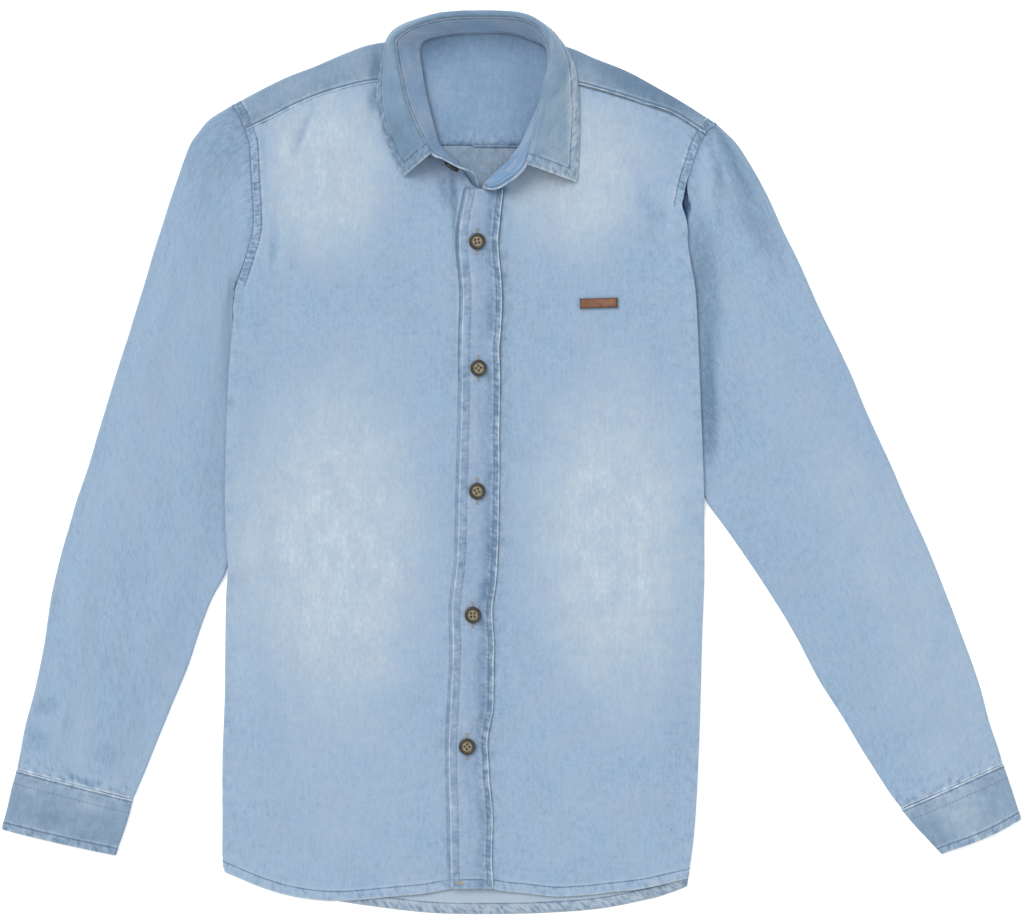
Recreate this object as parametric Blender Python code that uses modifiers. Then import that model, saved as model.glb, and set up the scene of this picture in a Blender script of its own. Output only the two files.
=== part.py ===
"""Denim shirt laid flat on its back, each cut-and-sewn piece a thin cloth wall.

Lengths are in millimetres and become metres when a mesh is made. +X points to the wearer's left,
+Y to the collar and +Z up, and the surface that the shirt lies on is z = 0. Right and left are the
wearer's. A panel is a patch drawn between its four edges, a sleeve is a row of flattened rings,
and the collar is a row of upright sections along the neck.
"""
import math
from collections import namedtuple

import bmesh
import bpy
from mathutils import Vector

METRE = 0.001                   # one millimetre
TOUCHING = 1e-6                 # metres within which points are one
CLOTH = 1.1                     # wall of a single piece
GAP = 0.3                       # between pieces that touch
LAYER = CLOTH + GAP             # step from one piece to the one lying on it
COLLAR_WALL = 1.5               # two layers of cloth and an interlining
CUFF_WALL = 1.4
ARMHOLE_GAP = 0.4

BODY_RISE = 3.6                 # underside of the fronts in the middle of the body
HEM_RISE = 2.2                  # and at the hem
HEM_RAMP = 80.0                 # length over which they come down to it
EDGE_FLAT = 6.0                 # strip along a side edge that keeps the edge's height
FRONT_EASE = 22.0               # width over which the fronts reach the body's height
BACK_EASE = 10.0                # width over which the back comes down from a sleeve under it
PLACKET_FALL = 11.0             # width over which the left front comes down beside the placket
SHOULDER_FOLD = 4.1             # total height of the fold along the shoulder
SHOULDER_OVER = 0.48            # middle of the yoke's front part, as a share of its width
FOLD_STEPS = 4                  # faces round a fold
BODY_MIDDLE = -30.0             # x that parts the right side from the left
HEM_Y = -300.0
BACK_SEAM_Y = 222.0             # seam of the yoke and the back

SLEEVE_EDGE = 2.9               # total height of the underarm fold
SLEEVE_SWELL = 25.0             # width over which a sleeve rises from its outer fold
SLEEVE_TUCK = 7.0               # strip of a sleeve that stays low under the body's edge
SLEEVE_EASE = 24.0              # width over which it rises from there
CUFF_EASE = 14.0
CUFF_BOW = 4.0                  # how far a cuff's edges bend
CUFF_SHARES = (0.0, 0.12, 0.3, 0.5, 0.7, 0.88, 1.0)

RIGHT_FRONT_SHORT = 4.7         # the right front ends this far inside the placket's right edge
LEFT_FRONT_SHORT = 1.0          # and the left front this far inside its left edge

BUTTON_RADIUS = 5.75            # 18 lines
BUTTON_PROFILE = ((0.0, 2.0), (3.7, 1.9), (4.5, 2.6), (5.2, 2.6), (BUTTON_RADIUS, 1.9),
                  (BUTTON_RADIUS, 0.9), (4.9, 0.0), (0.0, 0.0))       # radius and height
BUTTON_SIDES = 14
BUTTON_HOLES = 4
BUTTON_HOLE_SIDES = 6
BUTTON_HOLE_RADIUS = 0.8
BUTTON_HOLE_OFFSET = 1.65

SidePoint = namedtuple("SidePoint", "x y back_z front_z gape")
ColumnEnds = namedtuple("ColumnEnds", "top_x top_y hem_x hem_y")
ShoulderColumn = namedtuple("ShoulderColumn", "fold_x fold_y seam_x seam_y")
SleeveSection = namedtuple("SleeveSection", "outer_x outer_y inner_x inner_y fold crown bow")
PlacketRow = namedtuple("PlacketRow", "y left right")
Fold = namedtuple("Fold", "from_x from_y to_x to_y width rise")
CollarSection = namedtuple(
    "CollarSection", "foot_x foot_y foot_z top_x top_y top_z leaf_x leaf_y leaf_z")

# Side of the body from the shoulder tip, round the armhole, past the underarm and down to the hem.
# Row 2 is the front yoke seam, row 3 the back yoke seam, row 9 the end of the armhole that shows
# and row 17 the place where the sleeve comes out from under the body.
FRONT_SEAM_ROW = 2
BACK_SEAM_ROW = 3
ARMHOLE_END_ROW = 9
RIGHT_SIDE = [SidePoint(*row) for row in (
    (-195.0, 250.5, 0.0, 3.0, 0.0), (-190.0, 242.0, 0.0, 3.0, 0.0), (-186.0, 232.5, 0.0, 3.0, 0.0),
    (-183.0, 222.0, 0.0, 3.0, 0.0), (-182.0, 202.0, 0.0, 3.0, 0.0), (-180.5, 177.5, 0.0, 3.0, 0.0),
    (-181.0, 161.5, 0.0, 3.0, 0.0), (-185.5, 145.0, 0.0, 3.0, 0.0), (-190.0, 131.0, 1.6, 3.9, 0.0),
    (-193.5, 120.5, 3.2, 4.9, 0.5), (-194.0, 111.5, 3.2, 4.9, 0.0), (-195.0, 96.0, 3.2, 4.9, 0.0),
    (-197.0, 74.0, 3.2, 4.9, 0.0), (-198.5, 46.5, 3.2, 4.9, 0.0), (-200.0, 9.0, 3.2, 4.9, 0.0),
    (-200.5, -26.0, 3.2, 4.9, 0.0), (-199.5, -55.5, 3.2, 4.9, 0.0), (-198.5, -73.0, 3.2, 4.9, 0.0),
    (-200.0, -96.0, 0.0, 1.4, 0.0), (-200.5, -124.0, 0.0, 1.4, 0.0), (-201.0, -166.0, 0.0, 1.4, 0.0),
    (-202.5, -208.0, 0.0, 1.4, 0.0), (-202.5, -250.0, 0.0, 1.4, 0.0), (-202.5, -275.0, 0.0, 1.4, 0.0),
    (-201.0, -287.0, 0.0, 1.4, 0.0))]
LEFT_SIDE = [SidePoint(*row) for row in (
    (143.0, 237.5, 0.0, 3.0, 0.0), (139.0, 234.0, 0.0, 3.0, 0.0), (135.5, 230.5, 0.0, 3.0, 0.0),
    (131.0, 222.0, 0.0, 3.0, 0.0), (128.0, 213.0, 0.0, 3.0, 0.0), (125.0, 204.0, 0.0, 3.0, 0.0),
    (123.0, 197.5, 0.0, 3.0, 0.2), (121.5, 191.5, 0.5, 3.4, 1.2), (120.3, 185.0, 1.9, 4.2, 3.2),
    (119.5, 179.5, 3.2, 4.9, 4.5), (123.0, 167.0, 3.2, 4.9, 0.0), (123.5, 153.5, 3.2, 4.9, 0.0),
    (125.5, 139.5, 3.2, 4.9, 0.0), (129.0, 118.5, 3.2, 4.9, 0.0), (131.0, 80.0, 3.2, 4.9, 0.0),
    (132.5, 42.0, 3.2, 4.9, 0.0), (134.0, 4.0, 3.2, 4.9, 0.0), (135.0, -24.0, 3.2, 4.9, 0.0),
    (135.0, -46.0, 0.0, 1.4, 0.0), (135.0, -82.0, 0.0, 1.4, 0.0), (133.5, -124.0, 0.0, 1.4, 0.0),
    (132.0, -180.0, 0.0, 1.4, 0.0), (130.0, -229.0, 0.0, 1.4, 0.0), (127.5, -264.0, 0.0, 1.4, 0.0),
    (123.5, -291.5, 0.0, 1.4, 0.0))]

# Edges of the placket, from the neck down to the hem.
PLACKET = [PlacketRow(*row) for row in (
    (191.0, -31.0, -6.0), (167.5, -35.5, -8.0), (150.0, -36.5, -9.5), (119.5, -34.0, -6.5),
    (79.0, -35.0, -8.0), (44.0, -35.0, -8.0), (-12.0, -36.5, -8.5), (-68.0, -38.0, -9.5),
    (-100.5, -41.5, -13.0), (-131.0, -41.0, -12.0), (-167.5, -42.5, -13.0), (-201.0, -44.0, -16.5),
    (-247.5, -43.0, -13.5), (-298.0, -42.0, -13.0))]
PLACKET_SHARES = (0.0, 0.3, 0.7, 1.0)

# Lines down each front, from the yoke seam or the neckline to the hem.
FRONT_RIGHT_COLUMNS = [ColumnEnds(*row) for row in (
    (-186.0, 232.5, -201.0, -287.0), (-180.6, 235.1, -195.0, -289.5), (-173.3, 238.5, -187.0, -292.8),
    (-168.0, 241.0, -178.0, -296.5), (-150.5, 250.0, -160.0, -302.3), (-130.5, 258.0, -141.0, -305.8),
    (-109.0, 264.0, -124.0, -307.0), (-95.0, 266.5, -110.0, -306.5), (-67.5, 269.0, -97.0, -305.3),
    (-64.5, 255.0, -84.0, -304.0), (-60.5, 241.0, -72.0, -303.0), (-56.0, 225.5, -60.0, -301.8),
    (-45.0, 213.5, -50.0, -300.0), (-34.0, 204.0, -40.0, -298.5), (-26.0, 193.0, -28.0, -298.5),
    (-11.0, 191.0, -17.5, -298.5))]
FRONT_LEFT_COLUMNS = [ColumnEnds(*row) for row in (
    (-30.0, 189.5, -41.0, -298.5), (-19.0, 191.5, -27.0, -298.5), (-8.0, 201.5, -14.0, -298.5),
    (1.0, 212.5, -4.0, -300.5), (9.5, 221.5, 8.0, -301.5), (17.0, 239.5, 20.0, -303.0),
    (24.5, 257.0, 31.0, -304.0), (28.0, 268.0, 45.0, -303.5), (38.0, 266.5, 57.0, -302.5),
    (53.5, 263.0, 70.0, -301.0), (74.5, 257.0, 84.0, -299.5), (93.5, 251.0, 97.0, -297.5),
    (113.5, 244.0, 109.0, -294.8), (123.6, 237.8, 114.0, -293.6), (130.4, 233.6, 118.5, -292.6),
    (135.5, 230.5, 123.5, -291.5))]
BACK_COLUMNS = [ColumnEnds(*row) for row in (
    (-183.0, 222.0, -202.0, -284.0), (-177.0, 222.0, -195.0, -288.0), (-167.0, 222.0, -184.0, -292.5),
    (-155.0, 222.0, -158.0, -301.5), (-120.0, 222.0, -124.0, -307.0), (-90.0, 222.0, -97.5, -311.0),
    (-55.0, 222.0, -57.5, -315.5), (-20.0, 222.0, -17.0, -316.5), (20.0, 222.0, 25.0, -315.5),
    (58.0, 222.0, 62.5, -312.5), (102.0, 222.0, 96.0, -306.0), (115.0, 222.0, 107.0, -303.0),
    (125.0, 222.0, 117.0, -299.5), (131.0, 222.0, 123.0, -297.0))]

# Shoulder fold and front yoke seam, and the back neckline between the two necks.
YOKE_RIGHT = [ShoulderColumn(*row) for row in (
    (-195.0, 250.5, -186.0, 232.5), (-174.5, 261.5, -168.0, 241.0), (-157.0, 270.0, -150.5, 250.0),
    (-137.5, 277.5, -130.5, 258.0), (-116.5, 286.5, -109.0, 264.0), (-97.5, 293.0, -95.0, 266.5),
    (-66.5, 297.0, -67.5, 269.0))]
YOKE_LEFT = [ShoulderColumn(*row) for row in (
    (30.5, 292.8, 28.0, 268.0), (42.5, 290.0, 38.0, 266.5), (58.5, 283.0, 53.5, 263.0),
    (81.0, 274.0, 74.5, 257.0), (100.5, 263.5, 93.5, 251.0), (122.0, 251.0, 113.5, 244.0),
    (143.0, 237.5, 135.5, 230.5))]
BACK_NECK = [(-52.0, 300.0), (-40.0, 302.0), (-22.0, 303.2), (-4.0, 303.2), (11.5, 298.8),
             (21.0, 295.3)]

# Sleeve sections from the armhole to the cuff: the outer edge, the underarm edge, the height of the
# outer fold, the height of the middle, and how far the section still bows like the armhole.
SLEEVE_RIGHT = [SleeveSection(*row) for row in (
    (-210.5, 241.0, -195.2, 106.5, 3.8, 4.6, 0.75), (-219.7, 231.0, -195.0, 100.0, 3.6, 4.8, 0.65),
    (-226.7, 220.0, -194.5, 93.0, 3.5, 5.0, 0.55),
    (-236.5, 191.5, -194.0, 76.0, 3.3, 5.3, 0.4), (-246.0, 161.5, -194.0, 55.0, 3.2, 5.4, 0.25),
    (-256.5, 127.5, -195.5, 28.0, 3.2, 5.4, 0.1), (-267.0, 93.0, -196.0, 3.0, 3.2, 5.4, 0.0),
    (-277.5, 60.0, -195.5, -24.0, 3.2, 5.4, 0.0), (-287.5, 27.5, -196.5, -55.0, 3.2, 5.4, 0.0),
    (-297.0, -4.0, -199.5, -75.0, 3.2, 5.4, 0.0), (-306.0, -31.0, -210.0, -96.0, 3.2, 5.4, 0.0),
    (-314.0, -59.0, -219.0, -119.5, 3.2, 5.4, 0.0), (-321.5, -89.0, -227.0, -144.0, 3.2, 5.4, 0.0),
    (-327.0, -124.0, -239.0, -172.5, 3.2, 5.2, 0.0), (-333.5, -158.0, -250.5, -201.0, 3.2, 5.0, 0.0),
    (-341.5, -188.0, -259.5, -223.0, 3.3, 4.8, 0.0), (-346.3, -214.5, -264.8, -235.5, 3.4, 4.6, 0.0))]
SLEEVE_LEFT = [SleeveSection(*row) for row in (
    (157.0, 224.5, 123.0, 160.0, 3.8, 4.6, 0.9), (167.0, 209.0, 121.5, 145.0, 3.5, 5.0, 0.7),
    (179.0, 188.0, 122.5, 127.5, 3.3, 5.3, 0.5), (190.0, 164.0, 125.0, 105.5, 3.2, 5.4, 0.3),
    (201.0, 140.5, 126.5, 79.0, 3.2, 5.4, 0.15), (213.0, 113.5, 127.5, 51.0, 3.2, 5.4, 0.0),
    (225.0, 88.5, 129.5, 23.0, 3.2, 5.4, 0.0), (237.0, 62.5, 131.0, -4.0, 3.2, 5.4, 0.0),
    (250.0, 33.0, 136.0, -25.5, 3.2, 5.4, 0.0), (263.5, 3.5, 149.0, -44.5, 3.2, 5.4, 0.0),
    (276.0, -25.5, 166.0, -69.0, 3.2, 5.4, 0.0), (289.5, -55.0, 184.5, -97.0, 3.2, 5.4, 0.0),
    (304.0, -90.5, 200.0, -123.0, 3.2, 5.4, 0.0), (315.5, -120.5, 216.0, -153.5, 3.2, 5.4, 0.0),
    (326.0, -150.0, 232.0, -178.0, 3.2, 5.2, 0.0), (334.0, -180.0, 248.0, -205.0, 3.2, 5.0, 0.0),
    (341.0, -200.5, 264.0, -230.0, 3.3, 4.8, 0.0), (344.0, -210.5, 273.0, -242.0, 3.4, 4.6, 0.0))]
CUFF_RIGHT = [SleeveSection(*row) for row in (
    (-346.5, -215.2, -265.0, -236.2, 3.6, 4.8, 0.0), (-350.3, -229.0, -268.5, -249.5, 4.0, 5.2, 0.0),
    (-353.8, -243.0, -272.8, -262.5, 4.0, 5.2, 0.0), (-357.0, -257.0, -277.3, -275.3, 3.8, 4.8, 0.5))]
CUFF_LEFT = [SleeveSection(*row) for row in (
    (344.4, -211.2, 272.9, -242.9, 3.6, 4.8, 0.0), (349.0, -224.0, 282.0, -253.7, 4.0, 5.2, 0.7),
    (353.2, -237.0, 291.7, -264.2, 4.0, 5.2, 1.4), (357.0, -250.0, 301.5, -274.3, 3.8, 4.8, 2.2))]

# Soft folds of the sleeves: from one end to the other, half width, and height of the ridge.
FOLDS = [Fold(*row) for row in (
    (148.0, 224.0, 166.0, 186.0, 9.0, -0.7), (166.0, 186.0, 196.0, 128.0, 13.0, -0.6),
    (204.0, 150.0, 236.0, 62.0, 16.0, 0.4), (236.0, 20.0, 300.0, -110.0, 15.0, -0.4),
    (318.0, -186.0, 306.0, -222.0, 8.0, 0.5), (282.0, -205.0, 288.0, -228.0, 7.0, 0.4),
    (-214.0, 205.0, -205.0, 150.0, 13.0, -0.6), (-243.0, 150.0, -262.0, 60.0, 15.0, 0.4),
    (-262.0, -40.0, -298.0, -150.0, 16.0, -0.4), (-310.0, -180.0, -322.0, -212.0, 8.0, 0.5),
    (-280.0, -196.0, -286.0, -220.0, 8.0, 0.4))]

# Collar sections from the wearer's right front end, round the back, to the left front end: the foot
# of the stand on the neckline, its top edge and the lower edge of the leaf. The front ends have only
# the stand.
COLLAR = [CollarSection(*row) for row in (
    (-23.0, 193.5, 5.8, -25.5, 201.0, 11.5, None, None, None),
    (-29.0, 200.5, 5.6, -29.5, 203.5, 16.0, None, None, None),
    (-37.0, 208.5, 5.5, -38.0, 206.0, 19.0, None, None, None),
    (-45.0, 216.0, 5.5, -47.5, 211.0, 20.5, None, None, None),
    (-50.5, 222.5, 5.5, -56.0, 215.0, 21.0, -75.0, 200.5, 6.0),
    (-54.0, 233.0, 5.5, -65.5, 231.0, 21.5, -83.5, 216.0, 6.0),
    (-57.0, 245.0, 5.5, -73.0, 249.0, 22.0, -90.5, 236.0, 6.0),
    (-60.5, 259.5, 5.5, -77.0, 264.0, 22.5, -93.7, 252.0, 6.0),
    (-62.8, 274.0, 5.3, -79.5, 277.0, 23.0, -93.0, 267.0, 6.0),
    (-64.3, 285.5, 4.2, -81.0, 286.5, 23.5, -89.5, 283.5, 6.0),
    (-63.0, 294.0, 2.6, -80.0, 294.8, 24.0, -85.3, 298.5, 3.8),
    (-54.5, 298.0, 1.9, -67.0, 303.2, 24.0, -74.3, 307.0, 1.0),
    (-40.0, 300.4, 1.9, -46.0, 308.8, 24.0, -50.0, 314.2, 1.0),
    (-17.0, 301.3, 1.9, -17.0, 309.9, 24.0, -17.0, 315.9, 1.0),
    (0.0, 300.9, 1.9, 6.0, 308.4, 24.0, 10.3, 313.0, 1.0),
    (13.5, 296.2, 2.0, 19.5, 302.2, 24.0, 26.2, 303.6, 1.0),
    (24.0, 290.8, 3.4, 26.2, 291.9, 23.5, 34.0, 295.0, 5.2),
    (25.8, 281.0, 5.0, 27.4, 282.5, 23.0, 41.0, 284.0, 6.0),
    (24.6, 268.5, 5.5, 24.2, 269.5, 22.5, 45.2, 271.0, 6.0),
    (20.8, 254.0, 5.5, 20.7, 254.5, 22.0, 46.8, 250.0, 6.0),
    (14.0, 239.0, 5.5, 17.6, 236.0, 21.5, 46.8, 229.0, 6.0),
    (6.8, 223.0, 5.8, 13.3, 216.8, 21.0, 46.0, 207.5, 6.0),
    (-0.3, 213.3, 6.8, 10.8, 207.5, 20.5, 44.8, 196.5, 6.0),
    (-6.0, 207.0, 7.0, 5.5, 200.5, 19.0, None, None, None),
    (-13.5, 200.5, 7.0, -3.0, 194.3, 16.5, None, None, None),
    (-17.5, 196.0, 7.2, -11.0, 190.7, 13.0, None, None, None),
    (-20.0, 193.5, 7.8, -19.0, 191.5, 10.5, None, None, None))]
LEAF_FIRST, LEAF_LAST = 4, 22
STEPS_PER_SECTION = 2
STAND_SHARES = (0.0, 0.33, 0.67, 1.0)                         # up the stand
ROLL = ((0.0, 0.35), (0.45, 1.6), (1.7, 2.3), (2.8, 1.5))     # outward and upward from the stand
LEAF_ROWS = (0.2, 0.45, 0.72, 1.0)                            # from the roll to the leaf's edge
LEAF_CLEAR = 0.8                   # least reach of a leaf past its roll
LEAF_BEND = 1.25                   # above 1 the leaf falls late

BUTTONS = ((-24.0, 154.5), (-23.0, 66.0), (-24.0, -20.0), (-27.0, -106.5), (-31.0, -198.5))
COLLAR_BUTTON_STATION = 2.3        # place along the stand, in sections
COLLAR_BUTTON_AHEAD = 0.3          # a place further on, for the direction of the stand there
COLLAR_BUTTON_HEIGHT = 0.62        # place up the stand, as a share
COLLAR_BUTTON_CLEAR = 0.6          # from the stand's face
TAB_CENTRE = (61.0, 111.5)
TAB_SIZE = (26.0, 6.6, 1.0)
TAB_TURN = math.radians(1.6)
TAB_BEVEL = 0.35

# colour, roughness
FINISHES = {
    "body_cloth": ((0.36, 0.51, 0.68), 0.9),
    "yoke_cloth": ((0.26, 0.40, 0.58), 0.9),
    "cuff_cloth": ((0.25, 0.38, 0.55), 0.9),
    "button_horn": ((0.25, 0.16, 0.09), 0.35),
    "tab_leather": ((0.33, 0.12, 0.04), 0.6),
}


def smooth(share):
    share = min(max(share, 0.0), 1.0)
    return share * share * (3.0 - 2.0 * share)


def mix(a, b, share):
    return a + (b - a) * share


def falling(rows, field, y):
    """A column of a table at height y, where y falls from row to row."""
    if y >= rows[0].y:
        return getattr(rows[0], field)
    for high, low in zip(rows, rows[1:]):
        if y >= low.y:
            return mix(getattr(high, field), getattr(low, field), (high.y - y) / (high.y - low.y))
    return getattr(rows[-1], field)


def nearest_side(x):
    return RIGHT_SIDE if x < BODY_MIDDLE else LEFT_SIDE


def edge_distance(x, y):
    return abs(x - falling(nearest_side(x), "x", y))


def front_under(x, y):
    """Underside of a front piece that lies next to the back."""
    edge = falling(nearest_side(x), "front_z", y)
    middle = mix(HEM_RISE, BODY_RISE, smooth((y - HEM_Y) / HEM_RAMP))
    return mix(edge, middle, smooth((edge_distance(x, y) - EDGE_FLAT) / FRONT_EASE))


def left_front_under(x, y):
    """Underside of the left front, which lies over the right front beside the placket."""
    start = falling(PLACKET, "right", y) + LEFT_FRONT_SHORT
    past = (x - start) / (PLACKET_FALL - LEFT_FRONT_SHORT)
    return front_under(x, y) + LAYER * (1.0 - smooth(past))


def placket_under(x, y):
    return front_under(x, y) + 2.0 * LAYER


def back_under(x, y):
    edge = falling(nearest_side(x), "back_z", y)
    return edge * (1.0 - smooth((edge_distance(x, y) - EDGE_FLAT) / BACK_EASE))


def fold_rise(x, y):
    """Height that the soft folds add at a place."""
    total = 0.0
    for fold in FOLDS:
        start = Vector((fold.from_x, fold.from_y))
        line = Vector((fold.to_x, fold.to_y)) - start
        past = (Vector((x, y)) - start).dot(line) / line.length_squared
        nearest = start + line * min(max(past, 0.0), 1.0)
        off = (Vector((x, y)) - nearest).length / fold.width
        total += fold.rise * math.exp(-off * off)
    return total


def shares(points):
    """Share of a broken line's length at each of its points."""
    lengths = [0.0]
    for a, b in zip(points, points[1:]):
        lengths.append(lengths[-1] + math.dist(a, b))
    return [length / lengths[-1] for length in lengths]


def patch(columns, first_edge, last_edge):
    """Points of a panel between its top, its hem and two side edges, as rows of (x, y)."""
    tops = [Vector((c.top_x, c.top_y)) for c in columns]
    hems = [Vector((c.hem_x, c.hem_y)) for c in columns]
    across = shares([tuple(mix(a, b, 0.5)) for a, b in zip(tops, hems)])
    first = [Vector(p) for p in first_edge]
    last = [Vector(p) for p in last_edge]
    down_first, down_last = shares(first_edge), shares(last_edge)
    rows = []
    for i, (a, b) in enumerate(zip(first, last)):
        row = []
        for top, hem, u in zip(tops, hems, across):
            v = mix(down_first[i], down_last[i], u)
            ruled = mix(a, b, u) + mix(top, hem, v)
            corners = mix(mix(tops[0], tops[-1], u), mix(hems[0], hems[-1], u), v)
            row.append(ruled - corners)
        rows.append(row)
    return rows


def mesh_grid(name, rows, finish, wall, face, closed=False, dropped=None):
    """A grid whose corners take the places in rows, made a wall by Solidify.

    face says which face of the wall the points are: "under" for the lower face of a sheet,
    "outer" for the outer face of a folded piece that lies on z = 0, or "middle".
    dropped(i, j) says which cells are left out.
    """
    tall, wide = len(rows) - 1, len(rows[0]) - 1
    mesh = bmesh.new()
    bmesh.ops.create_grid(mesh, x_segments=wide, y_segments=tall, size=0.5)
    corners = {}
    for vert in mesh.verts:
        j, i = round((vert.co.x + 0.5) * wide), round((vert.co.y + 0.5) * tall)
        corners[vert] = (i, j)
    if dropped:
        gone = []
        for cell in mesh.faces:
            first = [min(corners[v][axis] for v in cell.verts) for axis in (0, 1)]
            if dropped(*first):
                gone.append(cell)
        bmesh.ops.delete(mesh, geom=gone, context="FACES")
    for vert in mesh.verts:
        i, j = corners[vert]
        vert.co = Vector(rows[i][j]) * METRE
    if closed:
        bmesh.ops.remove_doubles(mesh, verts=mesh.verts, dist=TOUCHING)
    mesh.normal_update()
    folded = face == "outer"
    lying = [f for f in mesh.faces if not folded or max(v.co.z for v in f.verts) < TOUCHING]
    looks_up = sum(f.normal.z * f.calc_area() for f in lying) > 0.0
    if looks_up == folded:
        bmesh.ops.reverse_faces(mesh, faces=mesh.faces)
    data = bpy.data.meshes.new(name)
    mesh.to_mesh(data)
    mesh.free()
    piece = add_object(name, data, finish)
    skin = piece.modifiers.new("Wall", "SOLIDIFY")
    skin.thickness = wall * METRE
    skin.offset = {"under": 1.0, "outer": -1.0, "middle": 0.0}[face]
    skin.use_quality_normals = True


def add_object(name, data, finish):
    piece = bpy.data.objects.new(name, data)
    piece.data.materials.clear()
    piece.data.materials.append(material(finish))
    piece.data.shade_smooth()
    shirt_collection().objects.link(piece)
    return piece


def shirt_collection():
    return bpy.data.collections["denim_shirt"]


def material(finish):
    if finish in bpy.data.materials:
        return bpy.data.materials[finish]
    made = bpy.data.materials.new(finish)
    made.use_nodes = True
    shader = made.node_tree.nodes["Principled BSDF"]
    colour, roughness = FINISHES[finish]
    shader.inputs["Base Color"].default_value = (*colour, 1.0)
    shader.inputs["Roughness"].default_value = roughness
    shader.inputs["Metallic"].default_value = 0.0
    return made


def lifted(rows, height):
    return [[(p.x, p.y, height(p.x, p.y)) for p in row] for row in rows]


def make_fronts():
    columns, side = FRONT_RIGHT_COLUMNS, [(row.x, row.y) for row in RIGHT_SIDE[FRONT_SEAM_ROW:]]
    centre = centre_edge(columns[-1], "right", -RIGHT_FRONT_SHORT, len(side))
    rows = seam_gap(patch(columns, side, centre))
    mesh_grid("front_right", lifted(rows, front_under), "body_cloth", CLOTH, "under")

    columns, side = FRONT_LEFT_COLUMNS, [(row.x, row.y) for row in LEFT_SIDE[FRONT_SEAM_ROW:]]
    centre = centre_edge(columns[0], "left", LEFT_FRONT_SHORT, len(side))
    rows = seam_gap(patch(columns, centre, side))
    mesh_grid("front_left", lifted(rows, left_front_under), "body_cloth", CLOTH, "under")


def centre_edge(ends, placket_side, short, count):
    """Points down a front's centre edge, which follows one edge of the placket."""
    heights = [mix(ends.top_y, ends.hem_y, i / (count - 1)) for i in range(count)]
    points = [(falling(PLACKET, placket_side, y) + short, y) for y in heights]
    points[0] = ends[:2]
    points[-1] = ends[2:]
    return points


def seam_gap(rows):
    """Draw a panel's top row back by the gap that parts it from the yoke."""
    rows[0] = [p - Vector((0.0, GAP)) for p in rows[0]]
    return rows


def make_back():
    right = [(row.x, row.y) for row in RIGHT_SIDE[BACK_SEAM_ROW:-1]] + [BACK_COLUMNS[0][2:]]
    left = [(row.x, row.y) for row in LEFT_SIDE[BACK_SEAM_ROW:-1]] + [BACK_COLUMNS[-1][2:]]
    rows = patch(BACK_COLUMNS, right, left)
    mesh_grid("back", lifted(seam_gap(rows), back_under), "body_cloth", CLOTH, "under")


def make_placket():
    rows = []
    for row in PLACKET:
        places = [mix(row.left, row.right, share) for share in PLACKET_SHARES]
        rows.append([(x, row.y, placket_under(x, row.y)) for x in places])
    mesh_grid("placket", rows, "yoke_cloth", CLOTH, "under")


def outward(column, neighbour):
    """Unit normal of the shoulder line, away from the body."""
    line = Vector((neighbour.fold_x - column.fold_x, neighbour.fold_y - column.fold_y)).normalized()
    normal = Vector((-line.y, line.x))
    return normal if normal.y > 0.0 else -normal


def shoulder_normals(columns):
    pairs = zip(columns, columns[1:] + columns[-2:-1])
    return [outward(column, neighbour) for column, neighbour in pairs]


def half_turn(centre, normal, height):
    """Points round a fold that lies on z = 0, from its lowest to its highest."""
    radius = height / 2.0
    points = []
    for i in range(FOLD_STEPS + 1):
        angle = -math.pi / 2 + math.pi * i / FOLD_STEPS
        out = centre + normal * (radius * math.cos(angle))
        points.append((out.x, out.y, radius + radius * math.sin(angle)))
    return points


def yoke_neck_column(place, back_shares):
    """Points of the yoke's back part from its seam to the neckline, which has no fold."""
    low, high = Vector((place[0], BACK_SEAM_Y)), Vector(place)
    flat = [(*mix(low, high, share), 0.0) for share in back_shares]
    return flat + [flat[-1]] * (FOLD_STEPS + FRONT_SEAM_ROW)


def yoke_shoulder_column(column, normal, back_shares, armhole):
    """Points of the yoke from its back seam, over the shoulder fold, to its front seam.

    armhole holds the side's rows when the column is the yoke's edge, and is None elsewhere.
    """
    centre = Vector((column.fold_x, column.fold_y)) - normal * (SHOULDER_FOLD / 2.0)
    seam = Vector((column.seam_x, column.seam_y))
    if armhole:
        side = [Vector((row.x, row.y)) for row in armhole]
        under, over = [side[3], side[2], side[1]], [side[1], side[2]]
    else:
        low = Vector((column.fold_x, BACK_SEAM_Y))
        under = [mix(low, centre, share) for share in back_shares[:-1]]
        over = [mix(centre, seam, SHOULDER_OVER), seam]
    front_top = front_under(seam.x, seam.y) + CLOTH
    points = [(*p, 0.0) for p in under] + half_turn(centre, normal, SHOULDER_FOLD)
    points.append((*over[0], mix(SHOULDER_FOLD, front_top, 0.5)))
    points.append((*over[1], front_top))
    return points


def make_yoke():
    """One sheet from the back yoke seam up to the shoulder folds, over them and down to the fronts."""
    back_shares = shares([(row.x, row.y) for row in reversed(RIGHT_SIDE[:BACK_SEAM_ROW + 1])])
    columns = []
    for k, normal in enumerate(shoulder_normals(YOKE_RIGHT)):
        armhole = RIGHT_SIDE[:BACK_SEAM_ROW + 1] if k == 0 else None
        columns.append(yoke_shoulder_column(YOKE_RIGHT[k], normal, back_shares, armhole))
    first_neck = len(columns) - 1
    for place in BACK_NECK:
        columns.append(yoke_neck_column(place, back_shares))
    last_neck = len(columns) - 1
    for k, normal in enumerate(shoulder_normals(YOKE_LEFT)):
        armhole = LEFT_SIDE[:BACK_SEAM_ROW + 1] if k == len(YOKE_LEFT) - 1 else None
        columns.append(yoke_shoulder_column(YOKE_LEFT[k], normal, back_shares, armhole))
    rows = [list(row) for row in zip(*columns)]
    mesh_grid("yoke", rows, "yoke_cloth", CLOTH, "outer",
              dropped=lambda i, j: i >= BACK_SEAM_ROW and first_neck <= j <= last_neck)


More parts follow.
